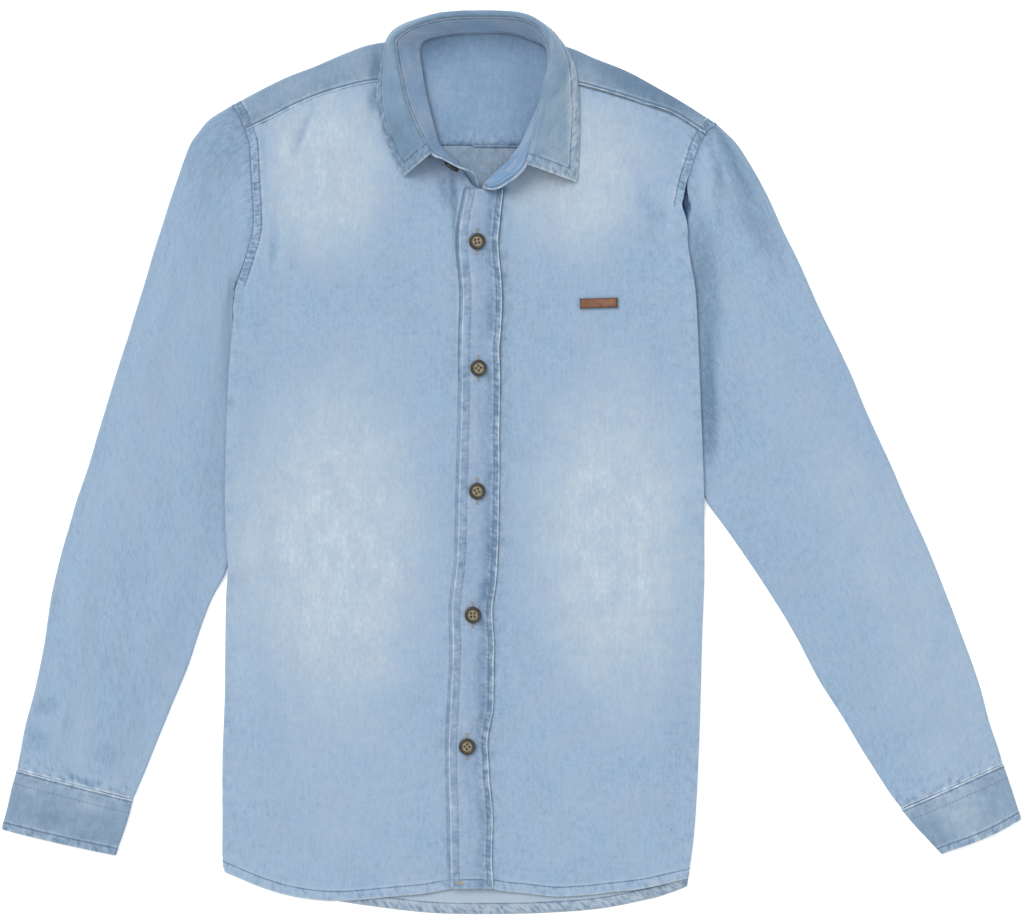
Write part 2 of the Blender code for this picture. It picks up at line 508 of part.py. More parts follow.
def tube_ring(under, over, heights, outer_normal, inner_normal):
    """One ring of a flattened tube: back along the underside, round one fold, along the top, round
    the other."""
    bottom = [(*p, 0.0) for p in reversed(under)]
    top = [(*p, height) for p, height in zip(over, heights)]
    outer_fold = half_turn(under[0], outer_normal, heights[0])[1:-1]
    turn = half_turn(under[-1], inner_normal, heights[-1])[1:]
    slant = over[-1] - under[-1]
    inner_fold = []
    for i, (x, y, z) in enumerate(turn):
        share = (i + 1) / len(turn)
        inner_fold.append((x + slant.x * share, y + slant.y * share, z))
    return bottom + outer_fold + top[:-1] + list(reversed(inner_fold)) + [bottom[0]]


def ring(section, bends, line_shares, edge_height, tuck, ease):
    """A ring of a sleeve or cuff between its outer fold and its underarm fold."""
    outer = Vector((section.outer_x, section.outer_y))
    inner = Vector((section.inner_x, section.inner_y))
    axis = (inner - outer).normalized()
    start = outer + axis * (section.fold / 2.0)
    end = inner - axis * (edge_height / 2.0)
    length = (end - start).length
    line, heights = [], []
    for share, bend in zip(line_shares, bends):
        place = mix(start, end, share)
        line.append(place + bend * section.bow * (1.0 - share ** 3))
        swell = mix(section.fold, section.crown, smooth(share * length / SLEEVE_SWELL))
        rise = smooth(((1.0 - share) * length - tuck) / ease)
        heights.append(mix(edge_height, swell + fold_rise(place.x, place.y), rise))
    return tube_ring(line, line, heights, -axis, axis)


def armhole_ring(side, normal, out_sign):
    """The sleeve's first ring, which follows the armhole, with its bends and its points' shares."""
    rows = side[:ARMHOLE_END_ROW + 1]
    under = [Vector((row.x + out_sign * ARMHOLE_GAP, row.y)) for row in rows]
    under[0] = under[0] - normal * (SHOULDER_FOLD / 2.0)
    over = [p + Vector((out_sign * row.gape, 0.0)) for p, row in zip(under, rows)]
    line_shares = shares([tuple(p) for p in under])
    bends = [p - mix(under[0], under[-1], share) for p, share in zip(under, line_shares)]
    length = (under[-1] - under[0]).length
    heights = []
    for share in line_shares:
        heights.append(mix(SLEEVE_EDGE, SHOULDER_FOLD, smooth((1.0 - share) * length / SLEEVE_SWELL)))
    first = tube_ring(under, over, heights, normal, Vector((0.0, -1.0)))
    return first, bends, line_shares


def make_sleeve(name, side, sections, normal, out_sign):
    first, bends, line_shares = armhole_ring(side, normal, out_sign)
    rings = [first]
    for section in sections:
        rings.append(ring(section, bends, line_shares, SLEEVE_EDGE, SLEEVE_TUCK, SLEEVE_EASE))
    mesh_grid(name, rings, "body_cloth", CLOTH, "outer", closed=True)


def make_cuff(name, sections):
    bends = [Vector((0.0, -CUFF_BOW * share * (1.0 - share))) for share in CUFF_SHARES]
    rings = [ring(s, bends, CUFF_SHARES, s.fold, 0.0, CUFF_EASE) for s in sections]
    mesh_grid(name, rings, "cuff_cloth", CUFF_WALL, "outer", closed=True)


def spline(points, place):
    """Smooth curve through points, at a place counted in points."""
    k = min(int(place), len(points) - 2)
    t = place - k
    a, b = points[k], points[k + 1]
    before = points[k - 1] if k > 0 else 2.0 * a - b
    after = points[k + 2] if k + 2 < len(points) else 2.0 * b - a
    return 0.5 * (2.0 * a + (b - before) * t + (2.0 * before - 5.0 * a + 4.0 * b - after) * t * t
                  + (3.0 * (a - b) + after - before) * t ** 3)


def collar_places(first, last):
    steps = (last - first) * STEPS_PER_SECTION
    return [mix(first, last, i / steps) for i in range(steps + 1)]


def stand_point(place, share):
    """A point of the stand's middle, share 0 at its foot and 1 at its top edge."""
    foot = spline([Vector((s.foot_x, s.foot_y, s.foot_z)) for s in COLLAR], place)
    top = spline([Vector((s.top_x, s.top_y, s.top_z)) for s in COLLAR], place)
    return mix(foot, top, share)


def make_stand():
    places = collar_places(0, len(COLLAR) - 1)
    rows = [[stand_point(place, share) for place in places] for share in STAND_SHARES]
    mesh_grid("collar_stand", rows, "yoke_cloth", COLLAR_WALL, "middle")


def leaf_profile(place):
    """Points of the leaf's middle from the stand's top edge, over the roll, to its lower edge."""
    leaf_sections = COLLAR[LEAF_FIRST:LEAF_LAST + 1]
    top = stand_point(place, 1.0)
    edge = spline([Vector((s.leaf_x, s.leaf_y, s.leaf_z)) for s in leaf_sections], place - LEAF_FIRST)
    out = Vector((edge.x - top.x, edge.y - top.y, 0.0))
    squeeze = min(1.0, out.length / (ROLL[-1][0] + LEAF_CLEAR))
    out.normalize()
    points = []
    for outward_by, up_by in ROLL:
        points.append(top + out * (outward_by * squeeze) + Vector((0.0, 0.0, COLLAR_WALL / 2.0 + up_by)))
    last = points[-1]
    for share in LEAF_ROWS:
        point = mix(last, edge, share)
        point.z = mix(last.z, edge.z, share ** LEAF_BEND)
        points.append(point)
    return points


def make_fall():
    profiles = [leaf_profile(place) for place in collar_places(LEAF_FIRST, LEAF_LAST)]
    rows = [list(row) for row in zip(*profiles)]
    mesh_grid("collar_fall", rows, "yoke_cloth", COLLAR_WALL, "middle")


def button_mesh():
    """A turned disc with a raised rim and four holes, its underside at z = 0."""
    data = bpy.data.meshes.new("button_profile")
    verts = [(radius * METRE, 0.0, height * METRE) for radius, height in BUTTON_PROFILE]
    data.from_pydata(verts, [(i, i + 1) for i in range(len(verts) - 1)], [])
    disc = bpy.data.objects.new("button_blank", data)
    guide_collection().objects.link(disc)
    screw = disc.modifiers.new("Turn", "SCREW")
    screw.steps = BUTTON_SIDES
    screw.render_steps = BUTTON_SIDES
    screw.use_merge_vertices = True
    screw.merge_threshold = 0.00001
    for i in range(BUTTON_HOLES):
        angle = 2.0 * math.pi * (i + 0.5) / BUTTON_HOLES
        hole = disc.modifiers.new(f"Hole {i + 1}", "BOOLEAN")
        hole.operation = "DIFFERENCE"
        hole.solver = "EXACT"
        hole.object = button_cutter(f"button_hole_{i + 1}", angle)
    bpy.context.view_layer.update()
    evaluated = disc.evaluated_get(bpy.context.evaluated_depsgraph_get())
    made = bpy.data.meshes.new_from_object(evaluated)
    made.name = "button"
    bpy.data.objects.remove(disc)
    return made


def button_cutter(name, angle):
    radius = BUTTON_HOLE_RADIUS * METRE
    cut = bmesh.new()
    bmesh.ops.create_cone(cut, cap_ends=True, segments=BUTTON_HOLE_SIDES, radius1=radius, radius2=radius,
                          depth=2.0 * BUTTON_RADIUS * METRE)
    data = bpy.data.meshes.new(name)
    cut.to_mesh(data)
    cut.free()
    cutter = bpy.data.objects.new(name, data)
    cutter.location = Vector((math.cos(angle), math.sin(angle), 0.0)) * (BUTTON_HOLE_OFFSET * METRE)
    cutter.hide_render = True
    cutter.display_type = "WIRE"
    guide_collection().objects.link(cutter)
    return cutter


def guide_collection():
    return bpy.data.collections["denim_shirt_cutters"]


def make_buttons():
    shape = button_mesh()
    for i, (x, y) in enumerate(BUTTONS):
        button = add_object(f"button_{i + 1}", shape if i == 0 else shape.copy(), "button_horn")
        button.location = Vector((x, y, placket_under(x, y) + LAYER)) * METRE
    seat = stand_point(COLLAR_BUTTON_STATION, COLLAR_BUTTON_HEIGHT)
    ahead = stand_point(COLLAR_BUTTON_STATION + COLLAR_BUTTON_AHEAD, COLLAR_BUTTON_HEIGHT) - seat
    up = stand_point(COLLAR_BUTTON_STATION, 1.0) - stand_point(COLLAR_BUTTON_STATION, 0.0)
    outer_side = up.cross(ahead).normalized()
    if outer_side.y > 0.0:
        outer_side.negate()
    button = add_object("button_collar", shape.copy(), "button_horn")
    button.location = (seat + outer_side * (COLLAR_WALL / 2.0 + COLLAR_BUTTON_CLEAR)) * METRE
    button.rotation_mode = "QUATERNION"
    button.rotation_quaternion = outer_side.to_track_quat("Z", "Y")


def make_tab():
    """Leather tab sewn on the left front."""
    width, height, thickness = TAB_SIZE
    cube = bmesh.new()
    bmesh.ops.create_cube(cube, size=1.0)
    bmesh.ops.scale(cube, vec=Vector((width, height, thickness)) * METRE, verts=cube.verts)
    data = bpy.data.meshes.new("leather_tab")
    cube.to_mesh(data)
    cube.free()
    tab = add_object("leather_tab", data, "tab_leather")
    x, y = TAB_CENTRE
    highest = max(left_front_under(x + across, y) for across in (-width / 2.0, 0.0, width / 2.0))
    tab.location = Vector((x, y, highest + LAYER + thickness / 2.0)) * METRE
    tab.rotation_euler.z = TAB_TURN
    edge = tab.modifiers.new("Edges", "BEVEL")
    edge.width = TAB_BEVEL * METRE
    edge.segments = 1


def clear_scene():
    for old in list(bpy.context.scene.objects):
        bpy.data.objects.remove(old)


def main():
    clear_scene()
    for name in ("denim_shirt", "denim_shirt_cutters"):
        made = bpy.data.collections.new(name)
        bpy.context.scene.collection.children.link(made)
    make_back()
    make_yoke()
    make_fronts()
    make_placket()
    right_normal = shoulder_normals(YOKE_RIGHT)[0]
    left_normal = shoulder_normals(YOKE_LEFT)[-1]
    make_sleeve("sleeve_right", RIGHT_SIDE, SLEEVE_RIGHT, right_normal, -1.0)
    make_sleeve("sleeve_left", LEFT_SIDE, SLEEVE_LEFT, left_normal, 1.0)
    make_cuff("cuff_right", CUFF_RIGHT)
    make_cuff("cuff_left", CUFF_LEFT)
    make_stand()
    make_fall()
    make_buttons()
    make_tab()


main()
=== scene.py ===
"""Washed denim shirt laid flat: cloth panels, sewn edges, stitching, buttons and leather tab.

Places and sizes are in millimetres and become metres when a mesh is made. +X points to the wearer's
left, +Y to the collar and +Z up from the surface that the shirt lies on. Right and left are the
wearer's. Each cloth piece is a fine grid of points on its right side. The grid gets soft folds, and
a relief along its sewn edges that the denim reads back to set its worn ridges and dark seam lines.
Patches and edge marks also paint shade into the denim, in folds, in a gap, under the collar and
along edges that lie over the cloth, and painted highlights on some fold ridges.
"""
import math
from collections import namedtuple

import bmesh
import bpy
import numpy as np
from bpy.props import FloatProperty, FloatVectorProperty, PointerProperty
from mathutils import Matrix, Vector
from mathutils.bvhtree import BVHTree


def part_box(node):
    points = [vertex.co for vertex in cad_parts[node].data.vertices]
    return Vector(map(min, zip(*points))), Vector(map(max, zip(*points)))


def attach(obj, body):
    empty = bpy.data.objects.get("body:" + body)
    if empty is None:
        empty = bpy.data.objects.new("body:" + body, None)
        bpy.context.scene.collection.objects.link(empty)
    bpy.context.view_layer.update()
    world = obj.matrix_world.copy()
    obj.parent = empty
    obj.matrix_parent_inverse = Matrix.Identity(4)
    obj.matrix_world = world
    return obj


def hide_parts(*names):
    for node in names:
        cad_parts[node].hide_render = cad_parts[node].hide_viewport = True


bl_info = {
    "name": "Denim Shirt, Laid Flat",
    "version": (1, 0, 0),
    "blender": (4, 5, 0),
    "location": "3D View > Sidebar > Shirt",
    "description": "Makes the cloth, seams, stitching, buttons and tab of a laid-out denim shirt",
    "category": "Object",
}

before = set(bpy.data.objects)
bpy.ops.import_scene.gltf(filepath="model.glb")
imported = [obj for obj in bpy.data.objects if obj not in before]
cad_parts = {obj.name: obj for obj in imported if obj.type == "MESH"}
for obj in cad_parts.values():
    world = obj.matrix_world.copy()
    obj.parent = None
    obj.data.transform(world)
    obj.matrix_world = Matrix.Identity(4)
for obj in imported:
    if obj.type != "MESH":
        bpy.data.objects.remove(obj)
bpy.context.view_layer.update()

METRE = 0.001
CLOTH = 1.1                     # wall of a single piece
LAYER = 1.4                     # step from one piece to the one lying on it
COLLAR_WALL = 1.5
CUFF_WALL = 1.4
ARMHOLE_GAP = 0.4
SEAM_GAP = 0.3

LEVEL = np.array([1.0, 1.0, 0.0])
UPWARD = np.array([0.0, 0.0, 1.0])

BODY_RISE = 3.6                 # underside of the fronts in the middle of the body
HEM_RISE = 2.2                  # and at the hem
HEM_RAMP = 80.0                 # length over which they come down to it
EDGE_FLAT = 6.0                 # strip along a side edge that keeps the edge's height
FRONT_EASE = 22.0               # width over which the fronts reach the body's height
BACK_EASE = 10.0                # width over which the back comes down from a sleeve under it
PLACKET_FALL = 11.0             # width over which the left front comes down beside the placket
PLACKET_WIDTH = 26.0
SHOULDER_FOLD = 4.1             # total height of the fold along the shoulder
SHOULDER_CROWN = 0.5            # and how far the yoke rises in front of it
BODY_MIDDLE = -30.0             # x that parts the right side from the left
HEM_Y = -300.0
BACK_SEAM_Y = 222.0             # seam of the yoke and the back
SLEEVE_EDGE = 2.9               # total height of the underarm fold
SLEEVE_SWELL = 25.0             # width over which a sleeve rises from its outer fold
SLEEVE_TUCK = 7.0               # strip of a sleeve that stays low under the body's edge
SLEEVE_EASE = 24.0              # width over which it rises from there
CUFF_EASE = 14.0
CUFF_BOW = 4.0                  # how far a cuff's edges bend
CUFF_ROW = 9.6                  # distance of a cuff's inner row of stitches from its seam
RIGHT_FRONT_SHORT = 4.7         # the right front ends this far inside the placket's right edge
LEFT_FRONT_SHORT = 1.0          # and the left front this far inside its left edge

SidePoint = namedtuple("SidePoint", "x y back_z front_z gape", defaults=(0.0,))
ColumnEnds = namedtuple("ColumnEnds", "top_x top_y hem_x hem_y")
ShoulderColumn = namedtuple("ShoulderColumn", "fold_x fold_y seam_x seam_y")
SleeveSection = namedtuple("SleeveSection", "outer_x outer_y inner_x inner_y fold crown bow",
                           defaults=(0.0,))
PlacketRow = namedtuple("PlacketRow", "y left right")
Fold = namedtuple("Fold", "from_x from_y to_x to_y width rise")
CollarSection = namedtuple(
    "CollarSection", "foot_x foot_y foot_z top_x top_y top_z leaf_x leaf_y leaf_z",
    defaults=(None,) * 3)
WashAndShadePatch = namedtuple("WashAndShadePatch", "x y reach_x reach_y turn strength")
# A kind of sewn edge: width of its stitched band, rise of the band, height and spacing of its puckers,
# how far they reach past it and how they slant, change of tone on the band, and the weights of its
# worn ridge and of its dark stitched line. The tone and worn weights below 0 of the edges under the
# yoke, at the sleeve's head and beside the placket are painted shade.
SeamKind = namedtuple("SeamKind", "band rise rope period reach slant tone worn seam")
# A sewn edge of a panel: down says that the distance from it is followed along the columns of the
# grid, and weigh gives its share at plan points.
SewnLine = namedtuple("SewnLine", "kind line down weigh", defaults=(True, None))
Swell = namedtuple("Swell", "rise size seed ease")      # unevenness that eases off at the edges
Thread = namedtuple("Thread", "pitch length width turn finish colour")
Denim = namedtuple("Denim", "name streaks mottle")
Grain = namedtuple("Grain", "across along detail roughness")


def table(kind, *rows):
    return [kind(*row) for row in rows]


# Side of the body from the shoulder tip, round the armhole, past the underarm and down to the hem.
# Row 2 is the front yoke seam, row 3 the back yoke seam, row 9 the end of the armhole that shows
# and row 17 the place where the sleeve comes out from under the body.
FRONT_SEAM_ROW = 2
BACK_SEAM_ROW = 3
ARMHOLE_END_ROW = 9
RIGHT_SIDE = table(SidePoint,
    (-195.0, 250.5, 0.0, 3.0), (-190.0, 242.0, 0.0, 3.0), (-186.0, 232.5, 0.0, 3.0),
    (-183.0, 222.0, 0.0, 3.0), (-182.0, 202.0, 0.0, 3.0), (-180.5, 177.5, 0.0, 3.0),
    (-181.0, 161.5, 0.0, 3.0), (-185.5, 145.0, 0.0, 3.0), (-190.0, 131.0, 1.6, 3.9),
    (-193.5, 120.5, 3.2, 4.9, 0.5), (-194.0, 111.5, 3.2, 4.9), (-195.0, 96.0, 3.2, 4.9),
    (-197.0, 74.0, 3.2, 4.9), (-198.5, 46.5, 3.2, 4.9), (-200.0, 9.0, 3.2, 4.9),
    (-200.5, -26.0, 3.2, 4.9), (-199.5, -55.5, 3.2, 4.9), (-198.5, -73.0, 3.2, 4.9),
    (-200.0, -96.0, 0.0, 1.4), (-200.5, -124.0, 0.0, 1.4), (-201.0, -166.0, 0.0, 1.4),
    (-202.5, -208.0, 0.0, 1.4), (-202.5, -250.0, 0.0, 1.4), (-202.5, -275.0, 0.0, 1.4),
    (-201.0, -287.0, 0.0, 1.4))
LEFT_SIDE = table(SidePoint,
    (143.0, 237.5, 0.0, 3.0), (139.0, 234.0, 0.0, 3.0), (135.5, 230.5, 0.0, 3.0),
    (131.0, 222.0, 0.0, 3.0), (128.0, 213.0, 0.0, 3.0), (125.0, 204.0, 0.0, 3.0),
    (123.0, 197.5, 0.0, 3.0, 0.2), (121.5, 191.5, 0.5, 3.4, 1.2), (120.3, 185.0, 1.9, 4.2, 3.2),
    (119.5, 179.5, 3.2, 4.9, 4.5), (123.0, 167.0, 3.2, 4.9), (123.5, 153.5, 3.2, 4.9),
    (125.5, 139.5, 3.2, 4.9), (129.0, 118.5, 3.2, 4.9), (131.0, 80.0, 3.2, 4.9),
    (132.5, 42.0, 3.2, 4.9), (134.0, 4.0, 3.2, 4.9), (135.0, -24.0, 3.2, 4.9), (135.0, -46.0, 0.0, 1.4),
    (135.0, -82.0, 0.0, 1.4), (133.5, -124.0, 0.0, 1.4), (132.0, -180.0, 0.0, 1.4),
    (130.0, -229.0, 0.0, 1.4), (127.5, -264.0, 0.0, 1.4), (123.5, -291.5, 0.0, 1.4))

# Edges of the placket, from the neck down to the hem.
PLACKET = table(PlacketRow,
    (191.0, -31.0, -6.0), (167.5, -35.5, -8.0), (150.0, -36.5, -9.5), (119.5, -34.0, -6.5),
    (79.0, -35.0, -8.0), (44.0, -35.0, -8.0), (-12.0, -36.5, -8.5), (-68.0, -38.0, -9.5),
    (-100.5, -41.5, -13.0), (-131.0, -41.0, -12.0), (-167.5, -42.5, -13.0), (-201.0, -44.0, -16.5),
    (-247.5, -43.0, -13.5), (-298.0, -42.0, -13.0))

# Lines down each front, from the yoke seam or the neckline to the hem. NECK_CORNER is the column
# where the yoke seam ends and the neckline starts.
FRONT_RIGHT_COLUMNS = table(ColumnEnds,
    (-186.0, 232.5, -201.0, -287.0), (-180.6, 235.1, -195.0, -289.5), (-173.3, 238.5, -187.0, -292.8),
    (-168.0, 241.0, -178.0, -296.5), (-150.5, 250.0, -160.0, -302.3), (-130.5, 258.0, -141.0, -305.8),
    (-109.0, 264.0, -124.0, -307.0), (-95.0, 266.5, -110.0, -306.5), (-67.5, 269.0, -97.0, -305.3),
    (-64.5, 255.0, -84.0, -304.0), (-60.5, 241.0, -72.0, -303.0), (-56.0, 225.5, -60.0, -301.8),
    (-45.0, 213.5, -50.0, -300.0), (-34.0, 204.0, -40.0, -298.5), (-26.0, 193.0, -28.0, -298.5),
    (-11.0, 191.0, -17.5, -298.5))
RIGHT_NECK_CORNER = 8
FRONT_LEFT_COLUMNS = table(ColumnEnds,
    (-30.0, 189.5, -41.0, -298.5), (-19.0, 191.5, -27.0, -298.5), (-8.0, 201.5, -14.0, -298.5),
    (1.0, 212.5, -4.0, -300.5), (9.5, 221.5, 8.0, -301.5), (17.0, 239.5, 20.0, -303.0),
    (24.5, 257.0, 31.0, -304.0), (28.0, 268.0, 45.0, -303.5), (38.0, 266.5, 57.0, -302.5),
    (53.5, 263.0, 70.0, -301.0), (74.5, 257.0, 84.0, -299.5), (93.5, 251.0, 97.0, -297.5),
    (113.5, 244.0, 109.0, -294.8), (123.6, 237.8, 114.0, -293.6), (130.4, 233.6, 118.5, -292.6),
    (135.5, 230.5, 123.5, -291.5))
LEFT_NECK_CORNER = 7
BACK_COLUMNS = table(ColumnEnds,
    (-183.0, 222.0, -202.0, -284.0), (-177.0, 222.0, -195.0, -288.0), (-167.0, 222.0, -184.0, -292.5),
    (-155.0, 222.0, -158.0, -301.5), (-120.0, 222.0, -124.0, -307.0), (-90.0, 222.0, -97.5, -311.0),
    (-55.0, 222.0, -57.5, -315.5), (-20.0, 222.0, -17.0, -316.5), (20.0, 222.0, 25.0, -315.5),
    (58.0, 222.0, 62.5, -312.5), (102.0, 222.0, 96.0, -306.0), (115.0, 222.0, 107.0, -303.0),
    (125.0, 222.0, 117.0, -299.5), (131.0, 222.0, 123.0, -297.0))

# Shoulder fold and front yoke seam, and the back neckline between the two necks.
YOKE_RIGHT = table(ShoulderColumn,
    (-195.0, 250.5, -186.0, 232.5), (-174.5, 261.5, -168.0, 241.0), (-157.0, 270.0, -150.5, 250.0),
    (-137.5, 277.5, -130.5, 258.0), (-116.5, 286.5, -109.0, 264.0), (-97.5, 293.0, -95.0, 266.5),
    (-66.5, 297.0, -67.5, 269.0))
YOKE_LEFT = table(ShoulderColumn,
    (30.5, 292.8, 28.0, 268.0), (42.5, 290.0, 38.0, 266.5), (58.5, 283.0, 53.5, 263.0),
    (81.0, 274.0, 74.5, 257.0), (100.5, 263.5, 93.5, 251.0), (122.0, 251.0, 113.5, 244.0),
    (143.0, 237.5, 135.5, 230.5))
BACK_NECK = ((-52.0, 300.0), (-40.0, 302.0), (-22.0, 303.2), (-4.0, 303.2), (11.5, 298.8),
             (21.0, 295.3))

# Sleeve sections from the armhole to the cuff: the outer edge, the underarm edge, the height of the
# outer fold, the height of the middle, and how far the section still bows like the armhole.
SLEEVE_RIGHT = table(SleeveSection,
    (-210.5, 241.0, -195.2, 106.5, 3.8, 4.6, 0.75), (-219.7, 231.0, -195.0, 100.0, 3.6, 4.8, 0.65),
    (-226.7, 220.0, -194.5, 93.0, 3.5, 5.0, 0.55), (-236.5, 191.5, -194.0, 76.0, 3.3, 5.3, 0.4),
    (-246.0, 161.5, -194.0, 55.0, 3.2, 5.4, 0.25), (-256.5, 127.5, -195.5, 28.0, 3.2, 5.4, 0.1),
    (-267.0, 93.0, -196.0, 3.0, 3.2, 5.4), (-277.5, 60.0, -195.5, -24.0, 3.2, 5.4),
    (-287.5, 27.5, -196.5, -55.0, 3.2, 5.4), (-297.0, -4.0, -199.5, -75.0, 3.2, 5.4),
    (-306.0, -31.0, -210.0, -96.0, 3.2, 5.4), (-314.0, -59.0, -219.0, -119.5, 3.2, 5.4),
    (-321.5, -89.0, -227.0, -144.0, 3.2, 5.4), (-327.0, -124.0, -239.0, -172.5, 3.2, 5.2),
    (-333.5, -158.0, -250.5, -201.0, 3.2, 5.0), (-341.5, -188.0, -259.5, -223.0, 3.3, 4.8),
    (-346.3, -214.5, -264.8, -235.5, 3.4, 4.6))
SLEEVE_LEFT = table(SleeveSection,
    (157.0, 224.5, 123.0, 160.0, 3.8, 4.6, 0.9), (167.0, 209.0, 121.5, 145.0, 3.5, 5.0, 0.7),
    (179.0, 188.0, 122.5, 127.5, 3.3, 5.3, 0.5), (190.0, 164.0, 125.0, 105.5, 3.2, 5.4, 0.3),
    (201.0, 140.5, 126.5, 79.0, 3.2, 5.4, 0.15), (213.0, 113.5, 127.5, 51.0, 3.2, 5.4),
    (225.0, 88.5, 129.5, 23.0, 3.2, 5.4), (237.0, 62.5, 131.0, -4.0, 3.2, 5.4),
    (250.0, 33.0, 136.0, -25.5, 3.2, 5.4), (263.5, 3.5, 149.0, -44.5, 3.2, 5.4),
    (276.0, -25.5, 166.0, -69.0, 3.2, 5.4), (289.5, -55.0, 184.5, -97.0, 3.2, 5.4),
    (304.0, -90.5, 200.0, -123.0, 3.2, 5.4), (315.5, -120.5, 216.0, -153.5, 3.2, 5.4),
    (326.0, -150.0, 232.0, -178.0, 3.2, 5.2), (334.0, -180.0, 248.0, -205.0, 3.2, 5.0),
    (341.0, -200.5, 264.0, -230.0, 3.3, 4.8), (344.0, -210.5, 273.0, -242.0, 3.4, 4.6))
CUFF_RIGHT = table(SleeveSection,
    (-346.5, -215.2, -265.0, -236.2, 3.6, 4.8), (-350.3, -229.0, -268.5, -249.5, 4.0, 5.2),
    (-353.8, -243.0, -272.8, -262.5, 4.0, 5.2), (-357.0, -257.0, -277.3, -275.3, 3.8, 4.8, 0.5))
CUFF_LEFT = table(SleeveSection,
    (344.4, -211.2, 272.9, -242.9, 3.6, 4.8), (349.0, -224.0, 282.0, -253.7, 4.0, 5.2, 0.7),
    (353.2, -237.0, 291.7, -264.2, 4.0, 5.2, 1.4), (357.0, -250.0, 301.5, -274.3, 3.8, 4.8, 2.2))

# Soft folds of the sleeves and of the fronts: from one end to the other, half width and rise.
SLEEVE_FOLDS = table(Fold,
    (148.0, 224.0, 166.0, 186.0, 7.0, -1.1), (166.0, 186.0, 196.0, 128.0, 12.0, -1.0),
    (204.0, 150.0, 236.0, 62.0, 16.0, 0.6), (236.0, 20.0, 300.0, -110.0, 15.0, -0.6),
    (318.0, -186.0, 306.0, -222.0, 8.0, 0.5), (282.0, -205.0, 288.0, -228.0, 7.0, 0.4),
    (-214.0, 205.0, -205.0, 150.0, 12.0, -1.0), (-243.0, 150.0, -262.0, 60.0, 15.0, 0.6),
    (-262.0, -40.0, -298.0, -150.0, 16.0, -0.4), (-310.0, -180.0, -322.0, -212.0, 8.0, 0.5),
    (-280.0, -196.0, -286.0, -220.0, 8.0, 0.4), (135.5, 219.0, 135.5, 180.0, 3.5, 1.0),
    (155.0, 216.0, 180.0, 152.0, 4.0, -0.9), (-326.0, -168.0, -334.0, -200.0, 7.0, -0.6),
    (-284.0, -196.0, -282.0, -216.0, 6.0, -0.6), (-300.0, -150.0, -308.0, -205.0, 10.0, 0.5))
FRONT_FOLDS = table(Fold,
    (-142.5, 240.0, -149.5, 216.0, 2.8, -1.1), (-153.0, 236.0, -158.0, 205.0, 4.0, 0.6),
    (-165.5, 168.0, -167.5, 140.0, 5.0, -0.9), (-151.5, 158.0, -151.5, 137.0, 4.0, -0.6),
    (-49.5, 200.5, -46.5, 190.0, 2.4, -0.9), (-41.0, 202.5, -39.0, 190.5, 2.4, -0.9),
    (-95.0, 256.0, -97.0, 235.0, 3.0, -0.7), (81.0, 234.0, 93.5, 180.0, 5.0, -1.1),
    (93.5, 180.0, 108.0, 172.5, 4.0, -0.9), (113.0, 188.0, 113.5, 160.0, 4.5, 1.0),
    (90.0, -50.0, 85.0, -170.0, 3.0, -0.35), (-176.0, 60.0, -182.0, -60.0, 9.0, -0.6),
    (110.0, 60.0, 116.0, -30.0, 9.0, -0.5), (-172.0, 236.0, -171.0, 205.0, 4.0, -0.7),
    (60.0, 246.0, 70.0, 215.0, 6.0, 0.5), (-38.5, 190.0, -38.0, 60.0, 2.4, -0.6))
PLACKET_FOLDS = table(Fold,
    (-40.0, -135.5, -14.0, -135.0, 1.8, -0.25), (-42.0, -212.0, -16.0, -211.0, 1.8, -0.22))

